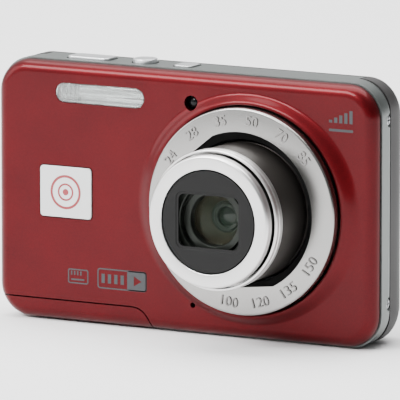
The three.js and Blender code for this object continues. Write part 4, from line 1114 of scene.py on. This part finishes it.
# Liquid-crystal panel behind the glass, switched off: a dark blue-grey with a faint cell pattern.
panelDark, shader = startMaterial("display_panel", "#1a1d24", 0.12, 0.0, Coat_Weight=1.0, Coat_Roughness=0.03)
grainFinish(panelDark, shader, "#171a20", "#1e2129", 0.25, 0.0002, (0.1, 0.16))
panel = roundedPlate("display_panel_area", (screenCentre[0] + 0.4, screenCentre[1] + 0.6), (50.8, 38.2), 0.3,
                     screenHigh[1] - 0.05, screenHigh[1] + 0.012)
smooth(panel, 30)
finishPiece(panel, "camera_body", panelDark, "black_plastic")


def backInk(centre, size, front, corner=0.0):
    return roundedPlate("key_sign", centre, size, corner, front - 0.03, front + 0.02, segments=4)


keyTop = span("video_button")[1][1]
for name, place in backKeys.items():
    low, high = span(name)
    profile = [(0, high[1] - 0.06), (0.9, high[1] - 0.05)] + arcPoints(1.85, high[1] - 0.35, 0.35, 90, 0, 6)
    profile += [(2.2, low[1] + 0.6), (2.9, low[1] + 0.6), (2.9, low[1]), (0, low[1])]
    keyCap = spunPiece(name + "_cap", profile, place, "Y", 56)
    smooth(keyCap, 35)
    finishPiece(keyCap, name, keyPlastic, "key_plastic", name)
    x, z = place
    if name == "video_button":
        dotProfile = [(0.02, keyTop - 0.05), (0.75, keyTop - 0.05), (0.75, keyTop - 0.015), (0.02, keyTop - 0.015)]
        signs = [spunPiece("record_dot", dotProfile, place, "Y", 32)]
    elif name == "menu_button":
        signs = [backInk((x, z + 0.6 * i), (1.7, 0.24), keyTop - 0.03) for i in (-1, 0, 1)]
    elif name == "play_button":
        signs = [inkTriangle(place, 0.85, -30, keyTop - 0.06, keyTop - 0.01)]
    elif name == "delete_button":
        signs = [backInk((x, z - 0.15), (1.0, 1.1), keyTop - 0.03),
                 backInk((x, z + 0.65), (1.5, 0.2), keyTop - 0.03)]
    else:
        signs = [backInk((x, z), (1.7, 1.2), keyTop - 0.03, 0.2)]
    sign = joinPieces(name + "_sign", signs)
    finishPiece(sign, name, redEnamel if name == "video_button" else darkInk, "black_plastic")

pad = {"inner": 4.3, "outer": 9.0, "front": padHigh[1], "back": padLow[1]}
padProfile = [(pad["inner"], pad["back"]), (pad["inner"], pad["front"] - 0.35)]
padProfile += arcPoints(pad["inner"] + 0.3, pad["front"] - 0.35, 0.3, 180, 90, 5)
padProfile += [(5.4, pad["front"] - 0.12), (6.6, pad["front"] - 0.18), (7.8, pad["front"] - 0.1)]
padProfile += arcPoints(pad["outer"] - 0.45, pad["front"] - 0.45, 0.45, 90, 0, 6)
padProfile += [(pad["outer"], pad["back"])]
navPad = spunPiece("nav_pad", padProfile, padCentre, "Y", 112)
smooth(navPad, 35)
finishPiece(navPad, "nav_ring", keyPlastic, "key_plastic", "nav_ring")
arrows = []
for turn in (0, 90, 180, 270):
    way = math.radians(turn)
    arrowPlace = (padCentre[0] + 7.5 * math.cos(way), padCentre[1] + 7.5 * math.sin(way))
    arrows.append(inkTriangle(arrowPlace, 0.65, -30 - turn, pad["front"] - 0.16, pad["front"] - 0.1))
padArrows = joinPieces("nav_pad_arrows", arrows)
finishPiece(padArrows, "nav_ring", darkInk, "black_plastic")
setLow, setHigh = span("set_button")
setRadius = (setHigh[0] - setLow[0]) / 2
setProfile = [(0, setHigh[1] - 0.22), (1.5, setHigh[1] - 0.2), (3.0, setHigh[1] - 0.08)]
setProfile += arcPoints(setRadius - 0.35, setHigh[1] - 0.35, 0.35, 90, 0, 6)
setProfile += [(setRadius, setLow[1]), (0, setLow[1])]
setCap = spunPiece("set_button_cap", setProfile, padCentre, "Y", 80)
smooth(setCap, 35)
finishPiece(setCap, "set_button", keyPlastic, "key_plastic", "set_button")

# Screws, tripod bush and strap bar.
screwOne = screwSpans["side_screw_1"]
screwPlace = ((screwOne[0][1] + screwOne[1][1]) / 2, (screwOne[0][2] + screwOne[1][2]) / 2)
headX = screwOne[1][0]
headProfile = [(0, headX), (0.7, headX - 0.02), (1.05, headX - 0.15), (1.25, headX - 0.4), (1.25, headX - 0.7),
               (0.75, headX - 0.7), (0.75, screwOne[0][0]), (0, screwOne[0][0])]
screwHead = spunPiece("side_screw_head", headProfile, screwPlace, "X", 48)
for size in ((0.3, 1.5), (1.5, 0.3)):
    combine(screwHead, roundedPlate("screw_cross", screwPlace, size, 0, headX - 0.35, headX + 1, "X"))
smooth(screwHead, 35)
for name, (low, high) in screwSpans.items():
    copy = screwHead.copy()
    copy.data = screwHead.data.copy()
    bpy.context.scene.collection.objects.link(copy)
    copy.name = name + "_head"
    startEdit(copy)
    bpy.ops.mesh.select_all(action="SELECT")
    if low[0] < 0:
        bpy.ops.transform.rotate(value=math.pi, orient_axis="Z", center_override=point(0, screwPlace[0], 0))
    bpy.ops.transform.translate(value=point(0, 0, (low[2] + high[2]) / 2 - screwPlace[1]))
    stopEdit()
    finishPiece(copy, "camera_body", steelMetal, "steel", name)
bpy.data.objects.remove(screwHead)

bushRadius = (bushHigh[0] - bushLow[0]) / 2
thread = []
for turn in range(9):
    level = bushLow[2] + 0.35 + turn * 0.5
    thread += [(2.85, level), (2.55, level + 0.25)]
bushProfile = [(bushRadius, bushLow[2] + 0.15), (bushRadius, bushHigh[2]), (0, bushHigh[2]), (0, 5.2), (2.55, 5.2)]
bushProfile += thread[::-1] + [(2.9, bushLow[2]), (bushRadius - 0.15, bushLow[2])]
bush = spunPiece("tripod_thread", bushProfile, bushCentre, "Z", 96)
smooth(bush, 25)
finishPiece(bush, "camera_body", brassMetal, "brass", "tripod_bush")
barCentre = ((strapLow[0] + strapHigh[0]) / 2, (strapLow[1] + strapHigh[1]) / 2)
pinEnd = [(0, 0), (0.45, 0), (0.6, 0.15), (0.6, 1.3), (0.5, 1.6)]  # radius and distance from either end
pinProfile = [(radius, strapLow[2] + reach) for radius, reach in pinEnd]
pinProfile += [(radius, strapHigh[2] - reach) for radius, reach in pinEnd[::-1]]
strapBar = spunPiece("strap_pin", pinProfile, barCentre, "Z", 32)
smooth(strapBar, 35)
finishPiece(strapBar, "camera_body", steelMetal, "steel", "strap_bar")
print("details shaped")
